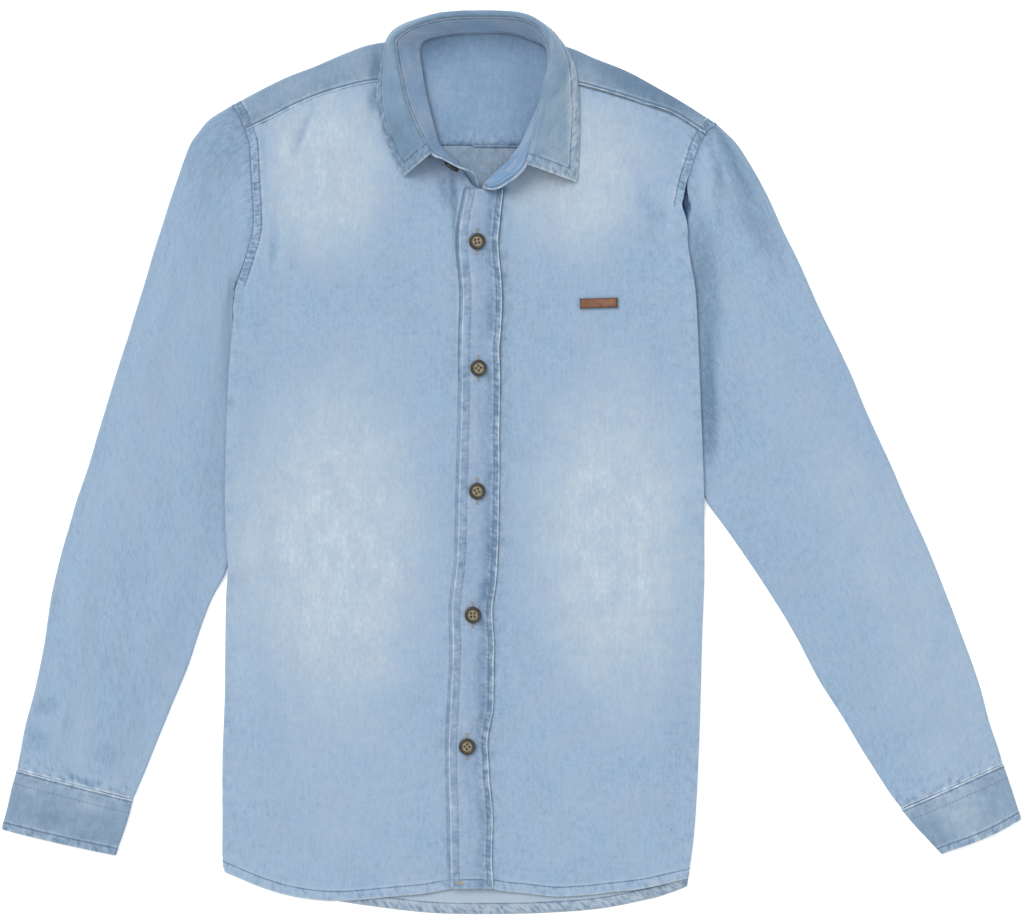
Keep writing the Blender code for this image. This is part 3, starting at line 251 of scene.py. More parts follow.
# Collar sections from the wearer's right front end, round the back, to the left front end: the foot
# of the stand on the neckline, its top edge and the lower edge of the leaf. The front ends have only
# the stand.
COLLAR = table(CollarSection,
    (-23.0, 193.5, 5.8, -25.5, 201.0, 11.5), (-29.0, 200.5, 5.6, -29.5, 203.5, 16.0),
    (-37.0, 208.5, 5.5, -38.0, 206.0, 19.0), (-45.0, 216.0, 5.5, -47.5, 211.0, 20.5),
    (-50.5, 222.5, 5.5, -56.0, 215.0, 21.0, -75.0, 200.5, 6.0),
    (-54.0, 233.0, 5.5, -65.5, 231.0, 21.5, -83.5, 216.0, 6.0),
    (-57.0, 245.0, 5.5, -73.0, 249.0, 22.0, -90.5, 236.0, 6.0),
    (-60.5, 259.5, 5.5, -77.0, 264.0, 22.5, -93.7, 252.0, 6.0),
    (-62.8, 274.0, 5.3, -79.5, 277.0, 23.0, -93.0, 267.0, 6.0),
    (-64.3, 285.5, 4.2, -81.0, 286.5, 23.5, -89.5, 283.5, 6.0),
    (-63.0, 294.0, 2.6, -80.0, 294.8, 24.0, -85.3, 298.5, 3.8),
    (-54.5, 298.0, 1.9, -67.0, 303.2, 24.0, -74.3, 307.0, 1.0),
    (-40.0, 300.4, 1.9, -46.0, 308.8, 24.0, -50.0, 314.2, 1.0),
    (-17.0, 301.3, 1.9, -17.0, 309.9, 24.0, -17.0, 315.9, 1.0),
    (0.0, 300.9, 1.9, 6.0, 308.4, 24.0, 10.3, 313.0, 1.0),
    (13.5, 296.2, 2.0, 19.5, 302.2, 24.0, 26.2, 303.6, 1.0),
    (24.0, 290.8, 3.4, 26.2, 291.9, 23.5, 34.0, 295.0, 5.2),
    (25.8, 281.0, 5.0, 27.4, 282.5, 23.0, 41.0, 284.0, 6.0),
    (24.6, 268.5, 5.5, 24.2, 269.5, 22.5, 45.2, 271.0, 6.0),
    (20.8, 254.0, 5.5, 20.7, 254.5, 22.0, 46.8, 250.0, 6.0),
    (14.0, 239.0, 5.5, 17.6, 236.0, 21.5, 46.8, 229.0, 6.0),
    (6.8, 223.0, 5.8, 13.3, 216.8, 21.0, 46.0, 207.5, 6.0),
    (-0.3, 213.3, 6.8, 10.8, 207.5, 20.5, 44.8, 196.5, 6.0), (-6.0, 207.0, 7.0, 5.5, 200.5, 19.0),
    (-13.5, 200.5, 7.0, -3.0, 194.3, 16.5), (-17.5, 196.0, 7.2, -11.0, 190.7, 13.0),
    (-20.0, 193.5, 7.8, -19.0, 191.5, 10.5))
LEAF_FIRST, LEAF_LAST = 4, 22
ROLL = ((0.0, 0.35), (0.45, 1.6), (1.7, 2.3), (2.8, 1.5))     # outward and upward from the stand
LEAF_ROWS = (0.2, 0.45, 0.72, 1.0)                            # from the roll to the leaf's edge
LEAF_CLEAR = 0.8
LEAF_BEND = 1.25

BUTTONS = ((-24.0, 154.5), (-23.0, 66.0), (-24.0, -20.0), (-27.0, -106.5), (-31.0, -198.5))
BUTTON_TURNS = (0.2, 0.9, 0.5, 0.05, 0.7)
BUTTON_RADIUS = 5.75            # 18 lines
BUTTON_PROFILE = ((0.0, 1.75), (2.6, 1.75), (3.9, 1.9), (4.35, 2.5), (4.9, 2.6), (5.5, 2.35),
                  (BUTTON_RADIUS, 1.7), (BUTTON_RADIUS, 0.9), (4.9, 0.0), (0.0, 0.0))
BUTTON_CORNERS = (8,)
BUTTON_SIDES = 44
HOLE_RADIUS = 0.85
HOLE_OFFSET = 1.75
BUTTONHOLE_LENGTH = 18.0
BUTTONHOLE_SIDE = 0.55
BARTACK = (-35.7, -294.0)
COLLAR_BUTTON_STATION = 2.3        # place along the stand, in sections
COLLAR_BUTTON_AHEAD = 0.3
COLLAR_BUTTON_HEIGHT = 0.62        # place up the stand, as a share
COLLAR_BUTTON_CLEAR = 0.6
BAND_BUTTONHOLE = (22.3, 23.35)    # from one place along the stand to another
BAND_BUTTONHOLE_HEIGHT = 0.5
NECK_MIDDLE = (-22.0, 255.0)
FOOT_ROW_FROM = 288.0              # the stitches at the band's foot show at the back alone
TAB_CENTRE = (61.0, 111.5)
TAB_SIZE = (26.0, 6.6, 1.0)
TAB_TURN = math.radians(1.6)
TAB_CORNER = 0.7

# Where stone wash has taken the dye, and where the cloth is painted darker as shade or lighter as a
# highlight: the middle, the reach across and down, the turn in degrees and the strength, below 0 where
# the cloth is darker. The comments over the tables say which patches are painted light or shade.
# Of the body's patches, the small ones below 0 are painted shade: in the chest creases and fold
# troughs, in the crevice beside the collar's leaf, beside the placket's top and under the collar. Of
# those above 0, the small ones on the chest folds are painted highlights on their ridges; the rest are
# stone wash.
BODY_WASH_AND_SHADE = table(WashAndShadePatch,
    (-129.0, 206.0, 44.0, 62.0, 0.0, 0.33), (-123.0, -59.0, 62.0, 116.0, 0.0, 0.34),
    (46.0, 202.0, 48.0, 54.0, 0.0, 0.32), (72.0, -56.0, 56.0, 112.0, 2.0, 0.32),
    (-189.0, -72.0, 13.0, 95.0, 0.0, 0.09), (-166.5, 152.0, 3.4, 14.0, -6.0, -0.13),
    (-171.5, 160.0, 2.6, 20.0, -4.0, 0.08), (-151.5, 147.0, 4.0, 12.0, 0.0, -0.04),
    (-145.0, 233.0, 2.3, 13.0, -22.0, -0.26), (-96.5, 256.0, 5.0, 11.0, 0.0, -0.22),
    (92.0, 190.0, 5.0, 30.0, 13.0, -0.09), (103.0, 172.0, 9.0, 4.0, -28.0, -0.08),
    (113.5, 174.0, 6.0, 22.0, 0.0, 0.08), (-39.0, 168.0, 3.0, 34.0, 4.0, -0.17),
    (-45.0, 192.0, 7.0, 14.0, 0.0, -0.12), (-10.0, 192.0, 9.0, 5.0, 0.0, -0.20),
    (88.0, -110.0, 3.0, 60.0, 3.0, -0.04), (-130.0, -235.0, 80.0, 60.0, 0.0, 0.04),
    (60.0, -245.0, 70.0, 50.0, 0.0, 0.02), (-160.0, 222.0, 3.5, 18.0, 14.0, 0.05),
    (-174.0, 214.0, 3.0, 22.0, 0.0, -0.08))
# Most sleeve patches below 0 are painted shade: in fold troughs, and the painted shadow that the body's
# edge casts on the wearer's left sleeve. The narrow ones above 0 on the folds near the armholes are
# painted highlights on their ridges; the rest above 0 are stone wash.
SLEEVE_WASH_AND_SHADE = table(WashAndShadePatch,
    (-262.0, 20.0, 24.0, 120.0, -17.0, 0.03), (-304.0, -192.0, 8.0, 24.0, -4.0, 0.07),
    (-325.0, -170.0, 9.0, 6.0, 12.0, -0.10), (-331.0, -194.0, 7.0, 9.0, 0.0, -0.09),
    (-284.0, -205.0, 8.0, 9.0, 0.0, -0.07), (-309.0, -184.0, 4.0, 11.0, 8.0, -0.07),
    (-300.0, -222.0, 12.0, 3.0, -14.0, -0.12), (215.0, 10.0, 26.0, 120.0, 25.0, 0.03),
    (300.0, -206.0, 30.0, 16.0, 24.0, 0.04), (134.5, 118.0, 12.0, 52.0, 3.0, -0.20),
    (138.5, 38.0, 6.5, 40.0, 1.0, -0.24), (136.0, 199.0, 4.5, 24.0, 0.0, 0.09),
    (145.0, 190.0, 4.0, 30.0, 0.0, -0.08), (163.0, 190.0, 13.0, 56.0, 25.0, -0.13),
    (148.0, 208.0, 2.6, 26.0, 18.0, 0.10), (155.0, 212.0, 3.0, 26.0, 25.0, -0.10),
    (280.0, -100.0, 44.0, 130.0, 26.0, 0.08), (-206.0, 218.0, 22.0, 38.0, -20.0, -0.09))
CUFF_FADES = table(WashAndShadePatch,
    (-312.0, -236.0, 20.0, 12.0, -14.0, 0.02), (-346.0, -240.0, 8.0, 20.0, -14.0, -0.05),
    (-323.0, -249.0, 10.0, 7.0, 0.0, -0.07), (-337.0, -228.0, 8.0, 5.0, -14.0, 0.10),
    (-298.0, -239.0, 11.0, 5.0, -14.0, 0.08), (-306.0, -256.0, 40.0, 24.0, -14.0, -0.06),
    (315.0, -241.0, 15.0, 17.0, 24.0, 0.14), (293.0, -256.0, 10.0, 16.0, 30.0, -0.06))
# The first patch is painted shade: it darkens the wearer's right leaf, which the key light lights more.
COLLAR_WASH_AND_SHADE = table(WashAndShadePatch,
    (-82.0, 240.0, 14.0, 46.0, 14.0, -0.06), (42.0, 245.0, 4.0, 40.0, 0.0, 0.14),
    (34.0, 240.0, 12.0, 60.0, 0.0, 0.10), (-18.0, 312.0, 50.0, 8.0, 0.0, -0.10))
# The first two patches are painted shade in the crevices beside the collar's leaves.
YOKE_WASH_AND_SHADE = table(WashAndShadePatch,
    (-95.0, 272.0, 4.0, 14.0, 0.0, -0.22), (46.0, 285.0, 7.0, 8.0, 30.0, -0.10),
    (-150.0, 262.0, 30.0, 8.0, 28.0, 0.03), (95.0, 264.0, 48.0, 12.0, -28.0, -0.22))
# The first patch is painted shade on the inside of the back within the neck, and the last is painted
# shade in the gap at the wearer's left armhole.
BACK_WASH_AND_SHADE = table(WashAndShadePatch,
    (-22.0, 212.0, 60.0, 20.0, 0.0, -0.20), (-10.0, -305.0, 120.0, 9.0, 0.0, 0.11),
    (122.0, 183.0, 12.0, 18.0, 0.0, -0.3))
# Painted shade in the gap at the left armhole, and at its lower end on the sleeve.
GAP_SHADE = [WashAndShadePatch(122.5, 182.0, 9.0, 19.0, 0.0, 1.0)]             # the gap at the left armhole
GAP_FOOT_SHADE = [WashAndShadePatch(122.4, 174.5, 2.6, 8.5, -12.0, 1.0)]       # and its lower end, on the sleeve


# ---------------------------------------------------------------- lines, patches and grids

def smooth(share):
    share = np.clip(share, 0.0, 1.0)
    return share * share * (3.0 - 2.0 * share)


def mix(a, b, share):
    return a + (b - a) * share


def points_in(rows, kind=""):
    """Plan points that a table's rows hold under one kind of name."""
    return np.array([(getattr(row, f"{kind}x"), getattr(row, f"{kind}y")) for row in rows])


def spline(points, places, corners=()):
    """Smooth curve through points, at places counted in points, and broken at the corners."""
    points = np.asarray(points, float)
    places = np.asarray(places, float)
    ends = [0, *corners, len(points) - 1]
    made = np.empty((len(places), points.shape[1]))
    for first, last in zip(ends, ends[1:]):
        part = points[first:last + 1]
        part = np.vstack([2.0 * part[0] - part[1], part, 2.0 * part[-1] - part[-2]])
        here = (places >= first) & (places <= last)
        k = np.clip(np.floor(places[here] - first).astype(int), 0, last - first - 1)
        t = (places[here] - first - k)[:, None]
        a, b, c, d = part[k], part[k + 1], part[k + 2], part[k + 3]
        made[here] = 0.5 * (2.0 * b + (c - a) * t + (2.0 * a - 5.0 * b + 4.0 * c - d) * t ** 2
                            + (3.0 * (b - c) + d - a) * t ** 3)
    return made


def lengths_along(points):
    """Length of a broken line up to each of its points."""
    steps = np.linalg.norm(np.diff(np.asarray(points, float), axis=0), axis=-1)
    return np.concatenate([[0.0], np.cumsum(steps)])


def graded(length, step, fine=(0.4, 1.0, 1.9)):
    """Distances along a line, close together at its two ends and at most a step apart."""
    marks = sorted({0.0, length, *fine, *(length - f for f in fine)})
    made = []
    for a, b in zip(marks, marks[1:]):
        count = max(1, math.ceil((b - a) / step))
        made += [mix(a, b, i / count) for i in range(count)]
    return np.array(made + [length])


def graded_places(points, step, corners=()):
    """Places counted in points that lie at most a step apart, with every corner kept."""
    reached = lengths_along(points)
    wanted = graded(reached[-1], step)
    keep = np.ones(len(wanted), bool)
    for corner in corners:
        keep &= np.abs(wanted - reached[corner]) > 0.4 * step
    wanted = np.sort(np.concatenate([wanted[keep], [reached[c] for c in corners]]))
    return np.interp(wanted, reached, np.arange(len(points)))


def line_of(points, step=4.0, past=0.0):
    """A smooth line through points, which may run straight on past its ends."""
    line = spline(points, graded_places(points, step))
    if past:
        first, last = (a + (a - b) / np.linalg.norm(a - b) * past
                       for a, b in ((line[0], line[1]), (line[-1], line[-2])))
        line = np.vstack([first, line, last])
    return line


def patch(columns, first_edge, last_edge, step, corners=()):
    """Plan points of a panel between its top, its hem and two side edges, smoothed and refined."""
    tops, hems = points_in(columns, "top_"), points_in(columns, "hem_")
    places = graded_places((tops + hems) / 2.0, step, corners)
    tops, hems = spline(tops, places, corners), spline(hems, places)
    across = lengths_along((tops + hems) / 2.0)
    across = (across / across[-1])[None, :, None]
    places = graded_places(first_edge, step)
    first, last = spline(first_edge, places), spline(last_edge, places)
    down_first, down_last = ((reached / reached[-1])[:, None, None]
                             for reached in (lengths_along(first), lengths_along(last)))
    down = mix(down_first, down_last, across)
    ruled = mix(first[:, None], last[:, None], across) + mix(tops[None], hems[None], down)
    corner = mix(mix(tops[0], tops[-1], across), mix(hems[0], hems[-1], across), down)
    return ruled - corner


def falling(rows, field, y):
    """A column of a table at heights y, where y falls from row to row."""
    return np.interp(-np.asarray(y), [-row.y for row in rows], [getattr(row, field) for row in rows])


def side_field(field, x, y, spread=5.0):
    """A column of the nearer side's table, eased over its steps."""
    total = 0.0
    for shift in (-spread, 0.0, spread):
        right, left = (falling(side, field, y + shift) for side in (RIGHT_SIDE, LEFT_SIDE))
        total = total + np.where(x < BODY_MIDDLE, right, left)
    return total / 3.0


def edge_distance(x, y):
    return np.abs(x - side_field("x", x, y, 0.0))


def front_under(x, y):
    """Underside of a front piece that lies next to the back."""
    edge = side_field("front_z", x, y)
    middle = mix(HEM_RISE, BODY_RISE, smooth((y - HEM_Y) / HEM_RAMP))
    return mix(edge, middle, smooth((edge_distance(x, y) - EDGE_FLAT) / FRONT_EASE))


def left_front_under(x, y):
    """Underside of the left front, which lies over the right front beside the placket."""
    start = falling(PLACKET, "right", y) + LEFT_FRONT_SHORT
    return front_under(x, y) + LAYER * (1.0 - smooth((x - start) / (PLACKET_FALL - LEFT_FRONT_SHORT)))


def placket_under(x, y):
    return front_under(x, y) + 2.0 * LAYER


def back_under(x, y):
    edge = side_field("back_z", x, y)
    return edge * (1.0 - smooth((edge_distance(x, y) - EDGE_FLAT) / BACK_EASE))


def near_line(points, line):
    """Distance of each point from a broken line, and how far along it the nearest place lies."""
    nearest, run = np.full(points.shape[:-1], 1e6), np.zeros(points.shape[:-1])
    reached = lengths_along(line)
    for k, (a, b) in enumerate(zip(line, line[1:])):
        step = b - a
        past = np.clip(((points - a) @ step) / (step @ step), 0.0, 1.0)
        away = np.linalg.norm(points - a - past[..., None] * step, axis=-1)
        closer = away < nearest
        nearest = np.where(closer, away, nearest)
        run = np.where(closer, reached[k] + past * (reached[k + 1] - reached[k]), run)
    return nearest, run


def fold_rise(plan, folds):
    """Height that soft folds add at plan points."""
    total = np.zeros(plan.shape[:-1])
    for fold in folds:
        off, _ = near_line(plan, np.array([(fold.from_x, fold.from_y), (fold.to_x, fold.to_y)]))
        total += fold.rise * np.exp(-(off / fold.width) ** 2)
    return total


def drift(x, y, size, seed):
    """Slow uneven swell between about -1 and 1, with hills about as wide as size."""
    turns = ((1.0, 0.0), (0.45, 0.9), (-0.8, 0.6), (0.25, -1.0), (0.95, -0.4))
    total = 0.0
    for k, (a, b) in enumerate(turns):
        phase = seed * (1.7 + k) + k * 2.1
        wave = math.tau / (size * (0.8 + 0.37 * k))
        bend = 1.3 * np.sin((b * x - a * y) * wave * 0.6)
        total = total + np.sin((a * x + b * y) * wave + phase + bend)
    return total / 3.2


def swelling(swell, x, y, edge):
    """The cloth's slow unevenness, eased off towards its edges."""
    return swell.rise * drift(x, y, swell.size, swell.seed) * smooth(edge / swell.ease)


def wash_and_shade_at(plan, patches):
    """Sum of patches at plan points: how much of the dye is washed out, and in most tables painted
    shade where a strength is below 0, with painted highlights on some fold ridges.
    """
    total = np.zeros(plan.shape[:-1])
    for spot in patches:
        turn = math.radians(spot.turn)
        dx, dy = plan[..., 0] - spot.x, plan[..., 1] - spot.y
        across = (dx * math.cos(turn) + dy * math.sin(turn)) / spot.reach_x
        down = (dy * math.cos(turn) - dx * math.sin(turn)) / spot.reach_y
        total += spot.strength * np.exp(-(across ** 2 + down ** 2) ** 1.8)
    return total


def grid_normals(grid, ring=False):
    """Unit normals of a grid, from its steps across and along."""
    if ring:
        wide = np.concatenate([grid[:, -2:-1], grid, grid[:, 1:2]], axis=1)
        across = (wide[:, 2:] - wide[:, :-2]) / 2.0
    else:
        across = np.gradient(grid, axis=1)
    normals = np.cross(np.gradient(grid, axis=0), across)
    return normals / np.maximum(np.linalg.norm(normals, axis=-1, keepdims=True), 1e-9)


def grid_area(grid):
    """Area of a grid in square millimetres."""
    a = grid[1:, 1:] - grid[:-1, :-1]
    b = grid[1:, :-1] - grid[:-1, 1:]
    return float(np.linalg.norm(np.cross(a, b), axis=-1).sum() / 2.0)


def grid_steps(grid, axis):
    return np.linalg.norm(np.diff(grid, axis=axis), axis=-1)


def cut_size(grid):
    """Largest width and length of a grid, measured over it, in millimetres."""
    return tuple(float(grid_steps(grid, axis).sum(axis=axis).max()) for axis in (1, 0))


def places_over(grid):
    """Places across and along a grid, measured over it from its first row and column."""
    rows, columns = grid.shape[:2]
    across = np.concatenate([np.zeros((rows, 1)), np.cumsum(grid_steps(grid, 1), axis=1)], axis=1)
    along = np.concatenate([np.zeros((1, columns)), np.cumsum(grid_steps(grid, 0), axis=0)], axis=0)
    return across, along


# ---------------------------------------------------------------- sewn edges

ROLLED = 0.9                # width over which a folded edge rounds off
ROLL_DROP = 0.4
BAND_EASE = 1.4             # width over which a stitched band rises
GROOVE = 0.16               # depth that a row of stitches pulls in
GROOVE_WIDTH = 0.55
FAR = 20.0                  # distance past which an edge no longer matters
OUT_OF_REACH = 200.0        # added to the distance of an edge on the other side of a fold
TUCK = 1.2                  # how far a seam allowance runs on under the next piece
TUCK_DROP = 0.12
# Painted shade: a tucked row is painted darker, as the piece that lies over it shades it.
TUCK_MARKS = {"tone": (1.0, -0.9), "worn": (0.0, 0.0), "edge": (1.0, TUCK)}     # factor and change

PLAIN_EDGE = SeamKind(0.0, 0.0, 0.0, 5.0, 3.0, 0.0, 0.0, 0.12, 0.0)
TUCKED_EDGE = SeamKind(0.0, 0.0, 0.0, 5.0, 3.0, 0.0, 0.0, 0.0, 0.0)
YOKE_SEAM = SeamKind(1.7, 0.25, 0.10, 4.0, 2.0, 0.1, -0.02, 1.1, 1.0)
# BELOW_YOKE is painted shade: its worn weight below 0 paints a shaded line where the front's edge lies
# under the yoke.
BELOW_YOKE = SeamKind(0.0, 0.0, 0.12, 5.2, 5.0, 0.0, 0.0, -0.5, 0.0)
ARMHOLE = SeamKind(5.4, 0.25, 0.36, 3.1, 2.2, 0.15, -0.13, 0.3, 0.7)
# SLEEVE_HEAD is painted shade: its tone and worn weight below 0 paint the shadow along the body's edge
# that lies over the sleeve.
SLEEVE_HEAD = SeamKind(0.0, 0.0, 0.20, 5.4, 5.0, 0.0, -0.09, -0.35, 0.0)
SLEEVE_END = SeamKind(0.0, 0.0, 0.50, 8.0, 6.0, 0.1, 0.0, 0.7, 0.0)
FRONT_HEM = SeamKind(6.6, 0.3, 0.18, 4.6, 1.6, 0.3, 0.02, 0.75, 0.75)
BACK_HEM = SeamKind(7.4, 0.3, 0.32, 4.8, 1.4, 0.8, -0.15, 0.3, 0.75)
PLACKET_LEFT = SeamKind(5.4, 0.25, 0.16, 4.5, 1.5, 0.2, -0.08, 0.75, 0.25)
PLACKET_RIGHT = SeamKind(3.8, 0.35, 0.34, 4.6, 2.8, 0.3, -0.13, 1.5, 0.45)
PLACKET_END = SeamKind(6.3, 0.2, 0.13, 4.6, 1.4, 0.5, -0.07, 0.4, 0.8)
# Painted shade beside the placket: the left front is painted darker along the placket's right edge by a
# tone and a worn weight below 0, and the right front along its left edge by a tone below 0 and a dark
# line.
BESIDE_RIGHT_EDGE = SeamKind(0.0, 0.0, 0.05, 5.0, 2.0, 0.0, -0.28, -0.5, 0.0)
BESIDE_LEFT_EDGE = SeamKind(2.1, 0.0, 0.05, 5.0, 2.0, 0.0, -0.10, 0.3, 0.9)
BAND_TOP = SeamKind(0.0, 0.05, 0.0, 5.0, 1.0, 0.0, 0.0, 0.3, 0.0)
CUFF_TOP = SeamKind(1.8, 0.3, 0.12, 4.2, 1.6, 0.1, 0.0, 1.0, 0.45)
CUFF_END = SeamKind(5.2, 0.3, 0.28, 4.4, 1.8, 0.3, 0.02, 0.45, 0.9)
STAND_TOP = SeamKind(2.6, 0.1, 0.20, 4.0, 1.2, 0.2, 0.0, 0.5, 0.8)
STAND_FOOT = SeamKind(1.9, 0.0, 0.08, 4.5, 1.4, 0.0, 0.0, 0.2, 0.2)
LEAF_EDGE = SeamKind(7.0, 0.25, 0.30, 5.6, 1.6, 0.1, 0.03, 0.7, 0.6)
LINING_SEAM = SeamKind(0.0, 0.0, 0.34, 4.6, 5.0, 0.0, 0.0, -0.55, 0.0)


def edge_marks(sewn):
    """Relief of sewn edges in millimetres, and the marks that the denim reads.

    sewn holds a (SeamKind, distance, run, weight) for each edge, those without a band first. The
    marks are edge, the distance from the nearest edge; band, how far in its stitched line lies;
    cross, the place along it counted in puckers; rope, worn and seam, the weights of its puckers,
    its worn ridge, painted as a shaded line where that weight is below 0, and its dark line; tone,
    that of all bands and the painted shade beside edges that lie under or beside another piece; and
    deep, the painted shade that the maker of a piece sets where it lies in a gap.
    """
    shape = sewn[0][1].shape
    relief = np.zeros(shape)
    marks = {key: np.zeros(shape) for key in ("band", "cross", "rope", "worn", "seam", "tone", "deep")}
    marks["edge"] = np.full(shape, FAR)
    for kind, away, run, weight in sewn:
        stitched = float(kind.band > 0.0)
        inside = smooth((kind.band - away) / BAND_EASE + 0.5) * stitched
        past = np.exp(-np.maximum(away - kind.band, 0.0) / kind.reach)
        rolls = kind.rise > 0.0 or kind is PLAIN_EDGE
        rolled = np.clip(1.0 - away / ROLLED, 0.0, 1.0) * rolls
        relief += kind.rise * inside * weight - ROLL_DROP * (1.0 - np.sqrt(1.0 - rolled ** 2))
        relief -= GROOVE * stitched * weight * np.exp(-((away - kind.band) / GROOVE_WIDTH) ** 2)
        marks["tone"] += kind.tone * weight * (inside if stitched else past)
        nearer = (away < marks["edge"]) | ((away < kind.band + 1.0) & (marks["band"] == 0.0))
        here = {"edge": away, "band": kind.band, "cross": (run + kind.slant * away) / kind.period,
                "rope": kind.rope * weight * past, "worn": kind.worn * weight,
                "seam": kind.seam * stitched * weight}
        for key, value in here.items():
            marks[key] = np.where(nearer, value, marks[key])
    return relief, marks


def row_at(grid, away, level, down=True):
    """Places and normals on a grid at one distance from its edge.

    down says that the distance is followed along each column, otherwise along each row.
    """
    normals = grid_normals(grid)
    if normals[..., 2].sum() < 0.0:
        normals = -normals
    faced = np.concatenate([grid, normals], axis=-1)
    lines = zip(faced.transpose(1, 0, 2), away.T) if down else zip(faced, away)
    row = []
    for line, distance in lines:
        past = distance - level
        crossed = np.nonzero(past[:-1] * past[1:] < 0.0)[0]
        if len(crossed):
            k = crossed[np.argmin(np.abs(crossed - np.argmin(distance)))]
            row.append(mix(line[k], line[k + 1], past[k] / (past[k] - past[k + 1])))
    return np.array(row)


def tucked(grid, uv, marks, first=TUCK, last=0.0):
    """Adds a row at the first end, and at the last, that runs on under the piece next to it and is
    painted darker as the shade under that piece.
    """
    for end, reach in ((0, first), (-1, last)):
        if not reach:
            continue
        inward = 1 if end == 0 else -2
        step = (grid[end] - grid[inward]) * LEVEL
        share = reach / np.maximum(np.linalg.norm(step, axis=-1, keepdims=True), 1e-6)
        row = grid[end] + step * share
        row[:, 2] -= TUCK_DROP
        made = [(grid, row), (uv, uv[end] + (uv[end] - uv[inward]) * share)]
        for key, value in marks.items():
            factor, change = TUCK_MARKS.get(key, (1.0, 0.0))
            made.append((value, value[end] * factor + change))
        made = [np.concatenate([new[None], old] if end == 0 else [old, new[None]]) for old, new in made]
        grid, uv = made[:2]
        marks = dict(zip(marks, made[2:]))
    return grid, uv, marks


def upper(row, least=-0.1):
    """The part of a row that doesn't lie on the underside."""
    return row[row[:, 5] > least]


# ---------------------------------------------------------------- meshes

def add_object(name, mesh):
    made = bpy.data.objects.new(name, mesh)
    bpy.context.scene.collection.objects.link(made)
    return made


def mesh_from(made, name):
    """A mesh with the faces of a bmesh, which is freed."""
    mesh = bpy.data.meshes.new(name)
    made.to_mesh(mesh)
    made.free()
    return mesh


def plain_mesh(source, name):
    """Replaces an object's live modifiers by the mesh that they make."""
    bpy.context.view_layer.update()
    evaluated = source.evaluated_get(bpy.context.evaluated_depsgraph_get())
    mesh = bpy.data.meshes.new_from_object(evaluated, preserve_all_data_layers=True,
                                           depsgraph=bpy.context.evaluated_depsgraph_get())
    mesh.name = name
    source.modifiers.clear()
    source.data = mesh


def cloth_object(name, grid, uv, marks, wall, finishes, offset=-1.0, ring=False, kept=None,
                 lowest=None):
    """A cloth wall on a grid of its right side. finishes holds the right and the wrong side's."""
    rows, across = grid.shape[:2]
    flat = np.arange(rows * across).reshape(rows, across)
    corners = np.stack([flat[:-1, :-1], flat[1:, :-1], flat[1:, 1:], flat[:-1, 1:]], axis=-1)
    corners = corners[kept] if kept is not None else corners.reshape(-1, 4)
    merged = flat.copy()
    if ring:
        merged[:, -1] = merged[:, 0]
    used, faces = np.unique(merged.reshape(-1)[corners], return_inverse=True)
    mesh = bpy.data.meshes.new(name)
    mesh.from_pydata((grid.reshape(-1, 3)[used] * METRE).tolist(), [], faces.reshape(-1, 4).tolist())
    layer = mesh.uv_layers.new(name="cloth")
    layer.data.foreach_set("uv", (uv.reshape(-1, 2)[corners.reshape(-1)] * METRE).reshape(-1))
    for key, values in marks.items():
        attribute = mesh.attributes.new(key, "FLOAT", "POINT")
        attribute.data.foreach_set("value", values.reshape(-1)[used].astype(np.float32))
    for finish in finishes:
        mesh.materials.append(finish)
    piece = add_object(name, mesh)
    skin = piece.modifiers.new("Wall", "SOLIDIFY")
    skin.thickness = wall * METRE
    skin.offset = offset
    skin.use_quality_normals = True
    skin.material_offset = len(finishes) - 1
    plain_mesh(piece, name)
    if lowest is not None:
        places = np.empty(len(piece.data.vertices) * 3)
        piece.data.vertices.foreach_get("co", places)
        places[2::3] = np.maximum(places[2::3], lowest * METRE)
        piece.data.vertices.foreach_set("co", places)
    piece.data.shade_smooth()
    return piece


def show(piece, node=None):
    """Puts a piece on the root body, and hides the part of model.glb that it stands for when one is
    named.
    """
    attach(piece, "root")
    if node:
        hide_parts(node)


def declare(piece, node, grid):
    """Puts a cloth piece on the root body and hides its part; its cut's size and area go unused."""
    show(piece, node)
    width, length = cut_size(grid)
    min(grid_area(grid), width * length) * METRE ** 2


def surface_tree(name):
    """A tree for finding the places of a finished piece's surface."""
    made = bmesh.new()
    made.from_mesh(bpy.data.objects[name].data)
    tree = BVHTree.FromBMesh(made)
    made.free()
    return tree


# ---------------------------------------------------------------- finishes

